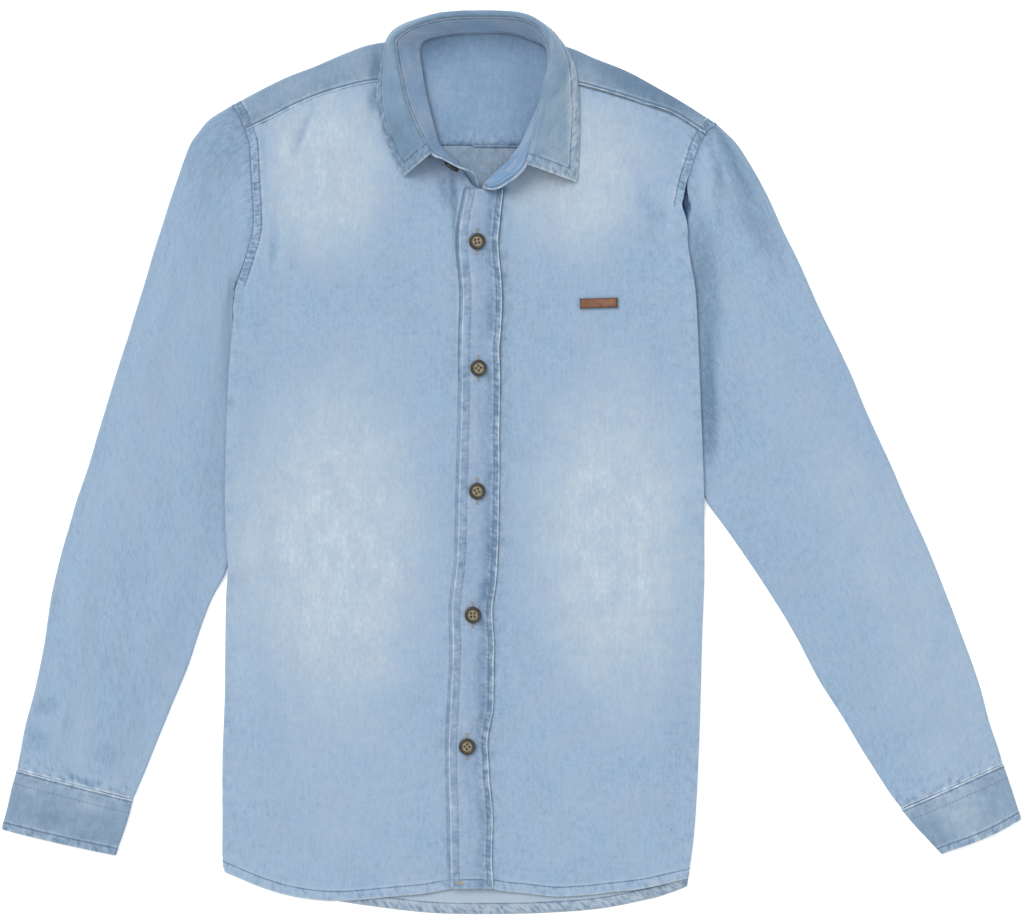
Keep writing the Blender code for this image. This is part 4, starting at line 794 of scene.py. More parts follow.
class Finish:
    """A material's nodes, with a short call for each kind that the finishes share."""

    def __init__(self, name):
        self.material = bpy.data.materials.new(name)
        self.material.use_nodes = True
        self.tree = self.material.node_tree
        self.shader = self.tree.nodes["Principled BSDF"]

    def add(self, kind, sockets=None, **settings):
        """A node with its settings, and each named socket given a constant or what feeds it."""
        made = self.tree.nodes.new(kind)
        for key, value in settings.items():
            setattr(made, key, value)
        self.give(made, sockets or {})
        return made

    def give(self, node, sockets):
        for key, value in sockets.items():
            if hasattr(value, "is_output"):
                self.tree.links.new(value, node.inputs[key])
            else:
                node.inputs[key].default_value = value

    def painted(self, sockets):
        """The material, with these sockets of its shader set."""
        self.give(self.shader, sockets)
        return self.material

    def maths(self, operation, a, b=0.0, c=0.0, clamp=False):
        return self.add("ShaderNodeMath", dict(enumerate((a, b, c))), operation=operation,
                        use_clamp=clamp).outputs[0]

    def less(self, a, b):
        return self.maths("SUBTRACT", a, b)

    def times(self, a, b):
        return self.maths("MULTIPLY", a, b)

    def off(self, a, b):
        return self.maths("ABSOLUTE", self.less(a, b))

    def attribute(self, name):
        return self.add("ShaderNodeAttribute", attribute_name=name).outputs["Fac"]

    def place(self):
        return self.add("ShaderNodeTexCoord").outputs["Object"]

    def scaled(self, vector, scale, turn=0.0):
        return self.add("ShaderNodeMapping", {"Vector": vector, "Scale": scale,
                                              "Rotation": (0.0, 0.0, turn)}).outputs["Vector"]

    def noise(self, vector, scale=1.0, detail=2.0, roughness=0.5, distortion=0.0):
        return self.add("ShaderNodeTexNoise", {
            "Vector": vector, "Scale": scale, "Detail": detail, "Roughness": roughness,
            "Distortion": distortion}).outputs["Fac"]

    def ridge(self, value, width):
        """1 where the value is 0, falling to 0 at the width."""
        return self.maths("SUBTRACT", 1.0, self.maths("DIVIDE", value, width, clamp=True), clamp=True)

    def sum(self, start, terms):
        """start with each (value, centre, weight) added as (value - centre) * weight."""
        total = start
        for value, centre, weight in terms:
            total = self.maths("MULTIPLY_ADD", self.less(value, centre), weight, total)
        return total

    def ramp(self, value, stops):
        made = self.add("ShaderNodeValToRGB", {"Fac": value})
        elements = made.color_ramp.elements
        while len(elements) < len(stops):
            elements.new(1.0)
        for element, (position, colour) in zip(elements, stops):
            element.position = position
            element.color = (*colour, 1.0)
        return made.outputs["Color"]

    def tinted(self, colour, by):
        return self.add("ShaderNodeMix", {"Factor": 1.0, "A": colour, "B": by}, data_type="RGBA",
                        blend_type="MULTIPLY").outputs["Result"]

    def bump(self, height, strength, distance, under=None):
        sockets = {"Strength": strength, "Distance": distance, "Height": height}
        if under is not None:
            sockets["Normal"] = under
        return self.add("ShaderNodeBump", sockets).outputs["Normal"]


PALE, DARK = (0.80, 0.86, 0.93), (0.05, 0.115, 0.20)      # what a shade is mixed with
WHITE = (1.0, 1.0, 1.0)
# Colour that the painted gap shade multiplies the cloth by.
DEEP = (0.22, 0.32, 0.50)       # share of the light that comes back out of a deep gap
WASHED = 0.28                   # washed-out share of the dye where no mark says otherwise
DENIMS = {
    "body": Denim("body denim", 1.0, 1.0), "inner": Denim("inner side denim", 0.8, 0.7),
    "yoke": Denim("yoke denim", 0.7, 1.0), "lining": Denim("yoke lining denim", 0.7, 1.0),
    "collar": Denim("collar denim", 0.6, 1.1), "stand": Denim("collar band denim", 0.6, 1.0),
    "placket": Denim("placket denim", 1.0, 1.2), "cuff": Denim("cuff denim", 0.7, 1.7)}
GRAINS = {
    "grain": Grain(560.0, 215.0, 2.0, 0.55), "slub": Grain(330.0, 50.0, 1.5, 0.5),
    "weft": Grain(70.0, 620.0, 1.0, 0.5), "patchy": Grain(165.0, 135.0, 2.0, 0.55),
    "cloud": Grain(27.0, 22.0, 2.5, 0.55), "speck": Grain(820.0, 640.0, 0.0, 0.5),
    "hue": Grain(46.0, 40.0, 1.0, 0.5), "through": Grain(62.0, 44.0, 3.0, 0.6)}
WORN_WIDTH = 1.25               # pale ridge of a worn edge
LIP_OFF, LIP_WIDTH = 1.5, 1.1   # pale lips beside a stitched line
SEAM_WIDTH = 0.7                # the dark line itself
NEAR_EDGE = 10.0                # strip along an edge where the blotches are stronger
SPECK_LEVEL = 0.31              # noise below this is a dark speck
TWILL_TURN = math.radians(63.0)


def shade(colour, lighter):
    """A colour made lighter, above 0, or darker, below 0."""
    target = PALE if lighter > 0.0 else DARK
    return tuple(mix(c, t, abs(lighter)) for c, t in zip(colour, target))


def denim(key):
    """Washed denim: a short slubby grain, soft blotches, puckered seams and pale worn edges, with the
    painted shade and painted highlights that its marks carry.
    """
    name, streaks, mottle = DENIMS[key]
    if name in bpy.data.materials:
        return bpy.data.materials[name]
    cloth = bpy.context.scene.shirt_cloth
    colour = getattr(cloth, key)
    made = Finish(name)
    uv = made.add("ShaderNodeUVMap", uv_map="cloth").outputs["UV"]
    grain, slub, weft, patchy, cloud, speck, hue, through = (
        made.noise(made.scaled(uv, (kind.across, kind.along, 1.0)), 1.0, kind.detail, kind.roughness)
        for kind in GRAINS.values())
    fade, edge, band, seam = (made.attribute(mark) for mark in ("fade", "edge", "band", "seam"))
    # bleached holds the washed-out dye together with the painted highlights on fold ridges, and faded
    # adds the painted shade of patches below 0.
    bleached = made.maths("MAXIMUM", fade, 0.0)
    uneven = made.maths("MULTIPLY_ADD", through, 1.5, 0.25)
    faded = made.maths("MULTIPLY_ADD", bleached, uneven, made.maths("MINIMUM", fade, 0.0))
    open_weave = made.maths("MULTIPLY_ADD", bleached, 2.2, 1.0)
    grained, slubby = (made.times(made.less(value, 0.5), open_weave) for value in (grain, slub))

    place = made.add("ShaderNodeCombineXYZ", {"X": made.attribute("cross"),
                                              "Y": made.times(edge, 0.13)})
    pucker = made.noise(place.outputs["Vector"], 1.6, detail=1.5, roughness=0.45)
    pucker = made.times(made.less(pucker, 0.5), made.attribute("rope"))
    worn = made.times(made.times(made.ridge(edge, WORN_WIDTH), made.attribute("worn")),
                      made.maths("MULTIPLY_ADD", patchy, 1.5, 0.25))
    lip = made.maths("ABSOLUTE", made.less(made.less(edge, band), LIP_OFF))
    lip = made.times(made.ridge(lip, LIP_WIDTH), seam)
    line = made.times(made.ridge(made.off(edge, band), SEAM_WIDTH), seam)
    mottled = made.times(made.less(patchy, 0.5), made.ridge(edge, NEAR_EDGE))
    specks = made.maths("MAXIMUM", made.less(SPECK_LEVEL, speck), 0.0)
    # The tone, worn and patch marks that go into this sum carry painted shade and painted highlights as
    # well as the wash.
    washed_and_shaded = made.sum(WASHED, (
        (faded, 0.0, 1.0), (made.attribute("tone"), 0.0, 1.0), (grained, 0.0, 0.25 * streaks),
        (slubby, 0.0, 0.10 * streaks), (weft, 0.5, 0.07), (cloud, 0.5, 0.15 * mottle),
        (patchy, 0.5, 0.13 * mottle), (specks, 0.0, -0.9), (mottled, 0.0, 0.35 * mottle),
        (pucker, 0.0, 2.6), (worn, 0.0, 0.6), (lip, 0.0, 0.14), (line, 0.0, -0.42)))
    dye_and_shade = made.ramp(washed_and_shaded, ((0.0, shade(colour, -0.64)), (0.28, colour), (0.62, cloth.faded),
                             (1.0, cloth.bleached)))
    dye_and_shade = made.tinted(dye_and_shade, made.ramp(hue, ((0.3, (1.0, 0.985, 0.975)), (0.7, (0.97, 1.0, 1.0)))))
    # Painted gap shade: cloth that lies in a gap is multiplied towards a dark blue.
    dye_and_shade = made.tinted(dye_and_shade, made.ramp(made.attribute("deep"), ((0.0, WHITE), (1.0, DEEP))))

    rib = made.add("ShaderNodeTexWave", {
        "Vector": made.scaled(uv, WHITE, TWILL_TURN), "Distortion": 0.4,
        "Scale": 1.0 / (cloth.twill_pitch * METRE * 20.0) * math.tau},
        wave_type="BANDS", bands_direction="X", wave_profile="SIN")
    weave = made.sum(0.5, ((rib.outputs["Fac"], 0.5, 0.35), (grain, 0.5, 0.8), (weft, 0.5, 0.4)))
    folds = made.sum(0.0, ((pucker, 0.0, 2.2), (patchy, 0.5, 0.16), (cloud, 0.5, 0.5)))
    return made.painted({
        "Base Color": dye_and_shade, "Normal": made.bump(folds, 0.8, 0.001, made.bump(weave, 0.45, 0.0002)),
        "Roughness": made.maths("MULTIPLY_ADD", washed_and_shaded, 0.1, 0.8), "Sheen Weight": 0.12,
        "Sheen Roughness": 0.5, "Specular IOR Level": 0.22})


def denims(*keys):
    return tuple(denim(key) for key in keys)


# ---------------------------------------------------------------- thread

TOPSTITCH = Thread(2.7, 2.0, 0.36, 0.0, "topstitch thread", (0.15, 0.21, 0.31))
PLACKET_STITCH = Thread(3.1, 1.9, 0.36, 0.0, "placket thread", (0.25, 0.30, 0.38))
BUTTONHOLE_STITCH = Thread(0.5, 0.9, 0.42, 90.0, "buttonhole thread", (0.40, 0.34, 0.27))
BAND_BUTTONHOLE_STITCH = Thread(0.5, 1.3, 0.45, 90.0, "pale buttonhole thread", (0.50, 0.58, 0.66))
BARTACK_STITCH = Thread(0.45, 1.9, 0.50, 90.0, "bartack thread", (0.50, 0.41, 0.28))
BUTTON_THREAD = ("button thread", (0.20, 0.155, 0.09))
THREAD_LIFT = 0.12
CLOSE_LIFT = 0.06               # of stitches that lie side by side
COLLAR_LIFT = COLLAR_WALL / 2.0 + THREAD_LIFT

STITCH_NODES = {
    "given": "NodeGroupInput", "made": "NodeGroupOutput", "curve": "GeometryNodeMeshToCurve",
    "spaced": "GeometryNodeResampleCurve", "bead": "GeometryNodeMeshUVSphere",
    "tangent": "GeometryNodeInputTangent", "ahead": "FunctionNodeAlignRotationToVector",
    "unevenness": "FunctionNodeRandomValue", "swung": "ShaderNodeMath",
    "spin": "FunctionNodeAxisAngleToRotation", "turned": "FunctionNodeRotateRotation",
    "size": "ShaderNodeCombineXYZ", "laid": "GeometryNodeInstanceOnPoints",
    "real": "GeometryNodeRealizeInstances", "painted": "GeometryNodeSetMaterial"}
STITCH_SETTINGS = (("spaced", "mode", "LENGTH"), ("ahead", "axis", "X"),
                   ("turned", "rotation_space", "LOCAL"))
STITCH_VALUES = (("bead", "Segments", 6), ("bead", "Rings", 4), ("bead", "Radius", 0.5),
                 ("unevenness", 2, -0.09), ("unevenness", 3, 0.09), ("unevenness", "Seed", 11))
STITCH_LINKS = (
    ("given", "Geometry", "curve", "Mesh"), ("curve", "Curve", "spaced", "Curve"),
    ("given", "Pitch", "spaced", "Length"), ("tangent", "Tangent", "ahead", "Vector"),
    ("given", "Turn", "swung", 0), ("unevenness", 1, "swung", 1), ("swung", 0, "spin", "Angle"),
    ("ahead", "Rotation", "turned", "Rotation"), ("spin", "Rotation", "turned", "Rotate By"),
    ("given", "Stitch length", "size", "X"), ("given", "Thread width", "size", "Y"),
    ("given", "Thread width", "size", "Z"), ("spaced", "Curve", "laid", "Points"),
    ("bead", "Mesh", "laid", "Instance"), ("turned", "Rotation", "laid", "Rotation"),
    ("size", "Vector", "laid", "Scale"), ("laid", "Instances", "real", "Geometry"),
    ("real", "Geometry", "painted", "Geometry"), ("given", "Finish", "painted", "Material"),
    ("painted", "Geometry", "made", "Geometry"))


def thread_finish(name, colour):
    if name in bpy.data.materials:
        return bpy.data.materials[name]
    made = Finish(name)
    twist = made.noise(made.scaled(made.place(), (1400.0,) * 3), detail=1.0)
    stops = ((0.2, shade(colour, -0.3)), (0.6, colour), (1.0, shade(colour, 0.35)))
    return made.painted({"Base Color": made.ramp(twist, stops), "Normal": made.bump(twist, 0.4, 0.0001),
                         "Roughness": 0.75})


def stitch_tree():
    """Geometry nodes that lay a small rounded stitch at every pitch along each line of a mesh."""
    name = "Thread stitches"
    if name in bpy.data.node_groups:
        return bpy.data.node_groups[name]
    tree = bpy.data.node_groups.new(name, "GeometryNodeTree")
    for socket, way, kind in (
            ("Geometry", "INPUT", "Geometry"), ("Pitch", "INPUT", "Float"),
            ("Stitch length", "INPUT", "Float"), ("Thread width", "INPUT", "Float"),
            ("Turn", "INPUT", "Float"), ("Finish", "INPUT", "Material"),
            ("Geometry", "OUTPUT", "Geometry")):
        tree.interface.new_socket(socket, in_out=way, socket_type=f"NodeSocket{kind}")
    nodes = {key: tree.nodes.new(kind) for key, kind in STITCH_NODES.items()}
    for key, setting, value in STITCH_SETTINGS:
        setattr(nodes[key], setting, value)
    for key, socket, value in STITCH_VALUES:
        nodes[key].inputs[socket].default_value = value
    for source, output, target, socket in STITCH_LINKS:
        tree.links.new(nodes[source].outputs[output], nodes[target].inputs[socket])
    return tree


def sew(name, rows, thread, lift=THREAD_LIFT):
    """Stitches along rows of (place, normal) points, as one plain mesh."""
    places, lines = [], []
    for row in rows:
        if len(row) < 2:
            continue
        first = len(places)
        places += ((row[:, :3] + row[:, 3:] * lift) * METRE).tolist()
        lines += [(k, k + 1) for k in range(first, len(places) - 1)]
    mesh = bpy.data.meshes.new(name)
    mesh.from_pydata(places, lines, [])
    piece = add_object(name, mesh)
    tree = stitch_tree()
    maker = piece.modifiers.new("Stitches", "NODES")
    maker.node_group = tree
    values = {"Pitch": thread.pitch * METRE, "Stitch length": thread.length * METRE,
              "Thread width": thread.width * METRE, "Turn": math.radians(thread.turn),
              "Finish": thread_finish(thread.finish, thread.colour)}
    for item in tree.interface.items_tree:
        if item.in_out == "INPUT" and item.name in values:
            maker[item.identifier] = values[item.name]
    plain_mesh(piece, name)
    piece.data.shade_smooth()
    show(piece)


def straight_row(a, b, count=12):
    """A row of (place, normal) points from one place to another, facing up."""
    places = mix(np.array(a, float), np.array(b, float), np.linspace(0.0, 1.0, count)[:, None])
    return np.concatenate([places, np.tile(UPWARD, (count, 1))], axis=-1)


ABOVE = 60.0                    # height over the whole shirt


def on_surface(tree, x, y):
    """Place of a finished piece's surface over a plan place."""
    hit = tree.ray_cast(Vector((x, y, ABOVE)) * METRE, Vector((0.0, 0.0, -1.0)))[0]
    return x, y, hit.z / METRE


# ---------------------------------------------------------------- cloth panels

PANEL_SWELL = 0.16
PANEL_SWELL_SIZE, PANEL_SWELL_EASE = 46.0, 15.0
SEWN_SHARE = 0.45               # stitches stop where their edge's share falls below this
PLACKET_SWELL = Swell(0.3, 34.0, 5.0, 6.0)
PLACKET_STREAK = (6.5, 4.0)     # dark streak of the placket: distance from the right edge, half width


def panel(node, plan, height, edges, finishes, wash_and_shade_patches, folds=(), gap_shades=(), lowest=None):
    """A flat-lying panel: its plan points get a height, soft folds and sewn edges."""
    name = f"{node}_cloth"
    base = np.concatenate([plan, height[..., None]], axis=-1)
    sewn = [(edge.kind, *near_line(plan, edge.line), edge.weigh(plan) if edge.weigh else 1.0)
            for edge in edges]
    relief, marks = edge_marks(sewn)
    swell = Swell(PANEL_SWELL * bpy.context.scene.shirt_cloth.swell, PANEL_SWELL_SIZE, len(name),
                  PANEL_SWELL_EASE)
    relief += fold_rise(plan, folds) + swelling(swell, plan[..., 0], plan[..., 1], marks["edge"])
    # Washed-out dye, painted shade and painted highlights from the patches, and painted shade where the
    # panel lies in a gap.
    marks["fade"] = wash_and_shade_at(plan, wash_and_shade_patches)
    marks["deep"] = wash_and_shade_at(plan, gap_shades)
    grid = base.copy()
    grid[..., 2] += relief
    piece = cloth_object(name, *tucked(grid, plan, marks), CLOTH, finishes, lowest=lowest)
    declare(piece, node, base)
    rows = []
    for edge, (kind, away, _, _) in zip(edges, sewn):
        if kind.rise:
            row = row_at(grid, away, kind.band, edge.down)
            rows.append(row[edge.weigh(row) > SEWN_SHARE] if edge.weigh else row)
    sew(f"{node}_stitches", rows, TOPSTITCH)


def fade_down(plan, y, over=26.0):
    """1 well above the height y, falling to 0 there."""
    return smooth((plan[..., 1] - y) / over)


def beside_placket(plan):
    return 0.35 + 0.65 * fade_down(plan, 30.0, 60.0)


def make_fronts():
    under_arm = ARMHOLE_END_ROW - FRONT_SEAM_ROW + 1
    for hand, columns, side, neck, ends, short, beside, beside_kind, heights in (
            ("right", FRONT_RIGHT_COLUMNS, RIGHT_SIDE, RIGHT_NECK_CORNER, FRONT_RIGHT_COLUMNS[-1],
             -RIGHT_FRONT_SHORT, "left", BESIDE_LEFT_EDGE, front_under),
            ("left", FRONT_LEFT_COLUMNS, LEFT_SIDE, LEFT_NECK_CORNER, FRONT_LEFT_COLUMNS[0],
             LEFT_FRONT_SHORT, "right", BESIDE_RIGHT_EDGE, left_front_under)):
        edge = points_in(side[FRONT_SEAM_ROW:])
        centre = [(falling(PLACKET, hand, y) + short, y)
                  for y in np.linspace(ends.top_y, ends.hem_y, len(edge))]
        centre[0], centre[-1] = ends[:2], ends[2:]
        tops, hems = points_in(columns, "top_"), points_in(columns, "hem_")
        sides, seam, neckline = (edge, centre), tops[:neck + 1], tops[neck:]
        if hand == "left":
            sides, seam, neckline = (centre, edge), tops[neck:], tops[:neck + 1]
        plan = patch(columns, *sides, bpy.context.scene.shirt_cloth.step, (neck,))
        plan[0, :, 1] -= SEAM_GAP
        armhole_end = edge[under_arm][1]
        edges = [
            SewnLine(BELOW_YOKE, line_of(seam, past=FAR)),
            SewnLine(TUCKED_EDGE, line_of(neckline)),
            SewnLine(beside_kind, line_of([(getattr(row, beside), row.y) for row in PLACKET]), False,
                     beside_placket),
            SewnLine(PLAIN_EDGE, line_of(edge[under_arm:]), False),
            SewnLine(ARMHOLE, line_of(edge[:under_arm + 1]), False,
                     lambda plan: fade_down(plan, armhole_end)),
            SewnLine(FRONT_HEM, line_of(hems, past=FAR))]
        z = heights(plan[..., 0], plan[..., 1]) + CLOTH
        panel(f"front_{hand}", plan, z, edges, denims("body", "inner"), BODY_WASH_AND_SHADE, FRONT_FOLDS)


def make_back():
    right, left = ([*points_in(side[BACK_SEAM_ROW:-1]), ends[2:]]
                   for side, ends in ((RIGHT_SIDE, BACK_COLUMNS[0]), (LEFT_SIDE, BACK_COLUMNS[-1])))
    plan = patch(BACK_COLUMNS, right, left, 1.5 * bpy.context.scene.shirt_cloth.step)
    plan[0, :, 1] -= SEAM_GAP
    edges = [SewnLine(TUCKED_EDGE, line_of(points_in(BACK_COLUMNS, "top_"))),
             SewnLine(BACK_HEM, line_of(points_in(BACK_COLUMNS, "hem_"), past=FAR))]
    z = back_under(plan[..., 0], plan[..., 1]) + CLOTH
    # The back is painted darker in the gap at the left armhole, as shade.
    panel("back", plan, z, edges, denims("inner", "body"), BACK_WASH_AND_SHADE, gap_shades=GAP_SHADE, lowest=0.0)


def make_placket():
    rows = np.array([(row.left, row.right, row.y) for row in PLACKET])
    middle = np.stack([(rows[:, 0] + rows[:, 1]) / 2.0, rows[:, 2]], axis=-1)
    fine = spline(rows, graded_places(middle, 1.6))
    shares = graded(PLACKET_WIDTH, 1.1, (0.35, 0.9, 1.6)) / PLACKET_WIDTH
    x = mix(fine[:, :1], fine[:, 1:2], shares[None])
    y = np.repeat(fine[:, 2:], len(shares), axis=1)
    x = x + 0.45 * drift(y * 0.0, y, 30.0, 3.0) * shares[None]
    x += 0.2 * np.sin(y / 7.0) * shares[None] ** 2
    plan = np.stack([x, y], axis=-1)
    away_left, away_right, away_end = x - x[:, :1], x[:, -1:] - x, np.abs(y - y[-1:])
    run = PLACKET[0].y - y
    relief, marks = edge_marks([
        (BAND_TOP, np.abs(y[:1] - y), x, 1.0), (PLACKET_LEFT, away_left, run, 1.0),
        (PLACKET_RIGHT, away_right, run, 1.0), (PLACKET_END, away_end, x, 1.0)])
    relief += swelling(PLACKET_SWELL, x, y, marks["edge"]) + fold_rise(plan, PLACKET_FOLDS)
    off, width = PLACKET_STREAK
    streak = np.exp(-((away_right - off) / width) ** 2) * (0.7 + 0.7 * drift(x * 0.5, y, 38.0, 4.0))
    marks["fade"] = 0.04 * smooth((away_right - 12.0) / 8.0) - 0.21 * streak
    marks["fade"] += 0.04 * drift(x * 3.0, y * 0.6, 30.0, 2.0)
    base = np.stack([x, y, placket_under(x, y) + CLOTH], axis=-1)
    grid = base.copy()
    grid[..., 2] += relief
    piece = cloth_object("placket_band", grid, plan, marks, CLOTH, denims("placket", "inner"))
    declare(piece, "placket", base)
    sew("placket_left_stitches", [row_at(grid, away_left, PLACKET_LEFT.band, False)], PLACKET_STITCH)
    sew("placket_right_stitches", [row_at(grid, away_right, PLACKET_RIGHT.band, False),
                                   row_at(grid, away_end, PLACKET_END.band)], TOPSTITCH)


# ---------------------------------------------------------------- yoke

YOKE_BACK_ROWS = 16
YOKE_FOLD_ROWS = 9
YOKE_TOP_ROW = YOKE_BACK_ROWS + YOKE_FOLD_ROWS // 2          # first row of the side that shows
YOKE_FRONT = graded(1.0, 0.07, (0.014, 0.035, 0.07))[1:]     # shares from the shoulder to the seam
YOKE_SWELL = Swell(0.25, 28.0, 4.0, 8.0)


def half_turn(centre, normal, height, steps):
    """Points round a fold that lies on z = 0, from its lowest to its highest."""
    angles = np.linspace(-math.pi / 2.0, math.pi / 2.0, steps + 1)[:, None]
    out = centre + normal * (height / 2.0) * np.cos(angles)
    return np.concatenate([out, height / 2.0 * (1.0 + np.sin(angles))], axis=-1)


def shoulder_normals(columns):
    folds = points_in(columns, "fold_")
    ahead = np.vstack([folds[1:] - folds[:-1], folds[-1:] - folds[-2:-1]])
    normals = np.stack([-ahead[:, 1], ahead[:, 0]], axis=-1)
    normals /= np.linalg.norm(normals, axis=-1, keepdims=True)
    return normals * np.sign(normals[:, 1:])


def yoke_column(column, normal, armhole=None):
    """Fine points of the yoke from its back seam, over the shoulder fold, to its front seam."""
    centre = np.array([column.fold_x, column.fold_y]) - normal * SHOULDER_FOLD / 2.0
    seam = np.array([column.seam_x, column.seam_y])
    shares = np.linspace(0.0, 1.0, YOKE_BACK_ROWS + 1)[:-1]
    if armhole is None:
        under = mix(np.array([column.fold_x, BACK_SEAM_Y]), centre, shares[:, None])
        over = mix(centre, seam, YOKE_FRONT[:, None])
    else:
        under = spline([armhole[3], armhole[2], armhole[1], centre], shares * 3.0)
        over = spline([centre, armhole[1], armhole[2]], YOKE_FRONT * 2.0)
    top = front_under(seam[0], seam[1]) + CLOTH
    crown = SHOULDER_CROWN * np.sin(math.pi * YOKE_FRONT) ** 1.5
    over = np.concatenate([over, (mix(SHOULDER_FOLD, top, YOKE_FRONT) + crown)[:, None]], axis=-1)
    under = np.concatenate([under, np.zeros((len(under), 1))], axis=-1)
    return np.vstack([under, half_turn(centre, normal, SHOULDER_FOLD, YOKE_FOLD_ROWS), over])


def yoke_wing(columns, side, armhole_at, step):
    """A shoulder of the yoke, as a grid of rows from its back seam to its front seam."""
    coarse = []
    for k, (column, normal) in enumerate(zip(columns, shoulder_normals(columns))):
        armhole = points_in(side[:BACK_SEAM_ROW + 1]) if k == armhole_at else None
        coarse.append(yoke_column(column, normal, armhole))
    places = graded_places(points_in(columns, "seam_"), step)
    fine = spline(np.array(coarse).reshape(len(columns), -1), places)
    return fine.reshape(len(places), -1, 3).transpose(1, 0, 2)


def make_yoke():
    step = bpy.context.scene.shirt_cloth.step
    right = yoke_wing(YOKE_RIGHT, RIGHT_SIDE, 0, step)
    left = yoke_wing(YOKE_LEFT, LEFT_SIDE, len(YOKE_LEFT) - 1, step)
    neck_line = [right[YOKE_BACK_ROWS, -1, :2], *BACK_NECK, left[YOKE_BACK_ROWS, 0, :2]]
    neck_line = line_of(neck_line, step)[1:-1]
    shares = np.linspace(0.0, 1.0, YOKE_BACK_ROWS + 1)[:, None]
    middle = np.zeros((right.shape[0], len(neck_line), 3))
    for k, place in enumerate(neck_line):
        flat = mix(np.array([place[0], BACK_SEAM_Y]), place, shares)
        middle[:YOKE_BACK_ROWS + 1, k, :2] = flat
        middle[YOKE_BACK_ROWS + 1:, k, :2] = flat[-1]
    base = np.concatenate([right, middle, left], axis=1)
    right_end, left_start = right.shape[1], right.shape[1] + len(neck_line)
    kept = np.ones((base.shape[0] - 1, base.shape[1] - 1), bool)
    kept[YOKE_BACK_ROWS:, right_end - 1:left_start] = False
    plan = base[..., :2]
    top = np.arange(base.shape[0])[:, None] >= YOKE_TOP_ROW
    lining_seam = np.abs(plan[..., 1] - BACK_SEAM_Y) + np.where(top, OUT_OF_REACH, 0.0)
    sewn, threaded = [(LINING_SEAM, lining_seam, plan[..., 0], 1.0)], []
    for columns, side in ((YOKE_RIGHT, RIGHT_SIDE), (YOKE_LEFT, LEFT_SIDE)):
        for edge in (
                SewnLine(YOKE_SEAM, line_of(points_in(columns, "seam_"), past=FAR)),
                SewnLine(ARMHOLE, line_of(points_in(side[:BACK_SEAM_ROW]), 2.0, FAR), False)):
            away, run = near_line(plan, edge.line)
            away = away + np.where(top, 0.0, OUT_OF_REACH)
            sewn.append((edge.kind, away, run, 1.0))
            threaded.append((away, edge.kind.band, edge.down))
    relief, marks = edge_marks(sewn)
    x, y = plan[..., 0], plan[..., 1]
    relief = np.where(top, relief + swelling(YOKE_SWELL, x, y, marks["edge"]), 0.0)
    marks["fade"] = 0.05 * drift(x, y, 60.0, 2.0) + np.where(top, wash_and_shade_at(plan, YOKE_WASH_AND_SHADE), 0.0)
    grid = base + relief[..., None] * UPWARD
    piece = cloth_object("yoke_cloth", grid, plan, marks, CLOTH, denims("yoke", "lining"), kept=kept,
                         lowest=0.0)
    declare(piece, "yoke", base)
    rows = [row_at(grid[YOKE_TOP_ROW:, wing], away[YOKE_TOP_ROW:, wing], band, down)
            for wing in (slice(0, right_end), slice(left_start, None))
            for away, band, down in threaded]
    sew("yoke_stitches", [upper(row, 0.2) for row in rows if len(row)], TOPSTITCH)


# ---------------------------------------------------------------- sleeves and cuffs

AROUND_UNDER = 22
AROUND_FOLD = 7
TUBE_SWELL = (40.0, 3.0, 14.0)  # size, seed and ease
UNDERSIDE, UNDERSIDE_EASE = 0.4, 1.5     # height up to which a tube lies plain, and the ease from it
TOP_POINT = 20                  # a point of every ring that lies on its top


def tube_ring(under, over, heights, outer_normal, inner_normal):
    """One ring of a flattened tube: over its top, round its underarm fold, back and round its other."""
    outer = half_turn(under[0], outer_normal, heights[0], AROUND_FOLD)
    inner = half_turn(under[-1], inner_normal, heights[-1], AROUND_FOLD)
    inner[:, :2] += (over[-1] - under[-1])[None] * np.linspace(0.0, 1.0, len(inner))[:, None]
    top = np.concatenate([over, heights[:, None]], axis=-1)
    reached = lengths_along(under)
    back = np.linspace(reached[-1], 0.0, AROUND_UNDER)
    bottom = np.stack([np.interp(back, reached, under[:, 0]), np.interp(back, reached, under[:, 1]),
                       np.zeros(len(back))], axis=-1)
    return np.vstack([top, inner[::-1][1:-1], bottom, outer[1:-1], top[:1]])


def section_ring(section, bends, shares, edge_height, tuck, ease):
    """A ring of a sleeve or cuff between its outer fold and its underarm fold."""
    outer = np.array([section.outer_x, section.outer_y])
    inner = np.array([section.inner_x, section.inner_y])
    axis = (inner - outer) / np.linalg.norm(inner - outer)
    start = outer + axis * section.fold / 2.0
    end = inner - axis * edge_height / 2.0
    length = np.linalg.norm(end - start)
    place = mix(start, end, shares[:, None])
    line = place + bends * section.bow * (1.0 - shares[:, None] ** 3)
    swell = mix(section.fold, section.crown, smooth(shares * length / SLEEVE_SWELL))
    rise = smooth(((1.0 - shares) * length - tuck) / ease)
    heights = mix(edge_height, swell + fold_rise(place, SLEEVE_FOLDS), rise)
    return tube_ring(line, line, heights, -axis, axis)


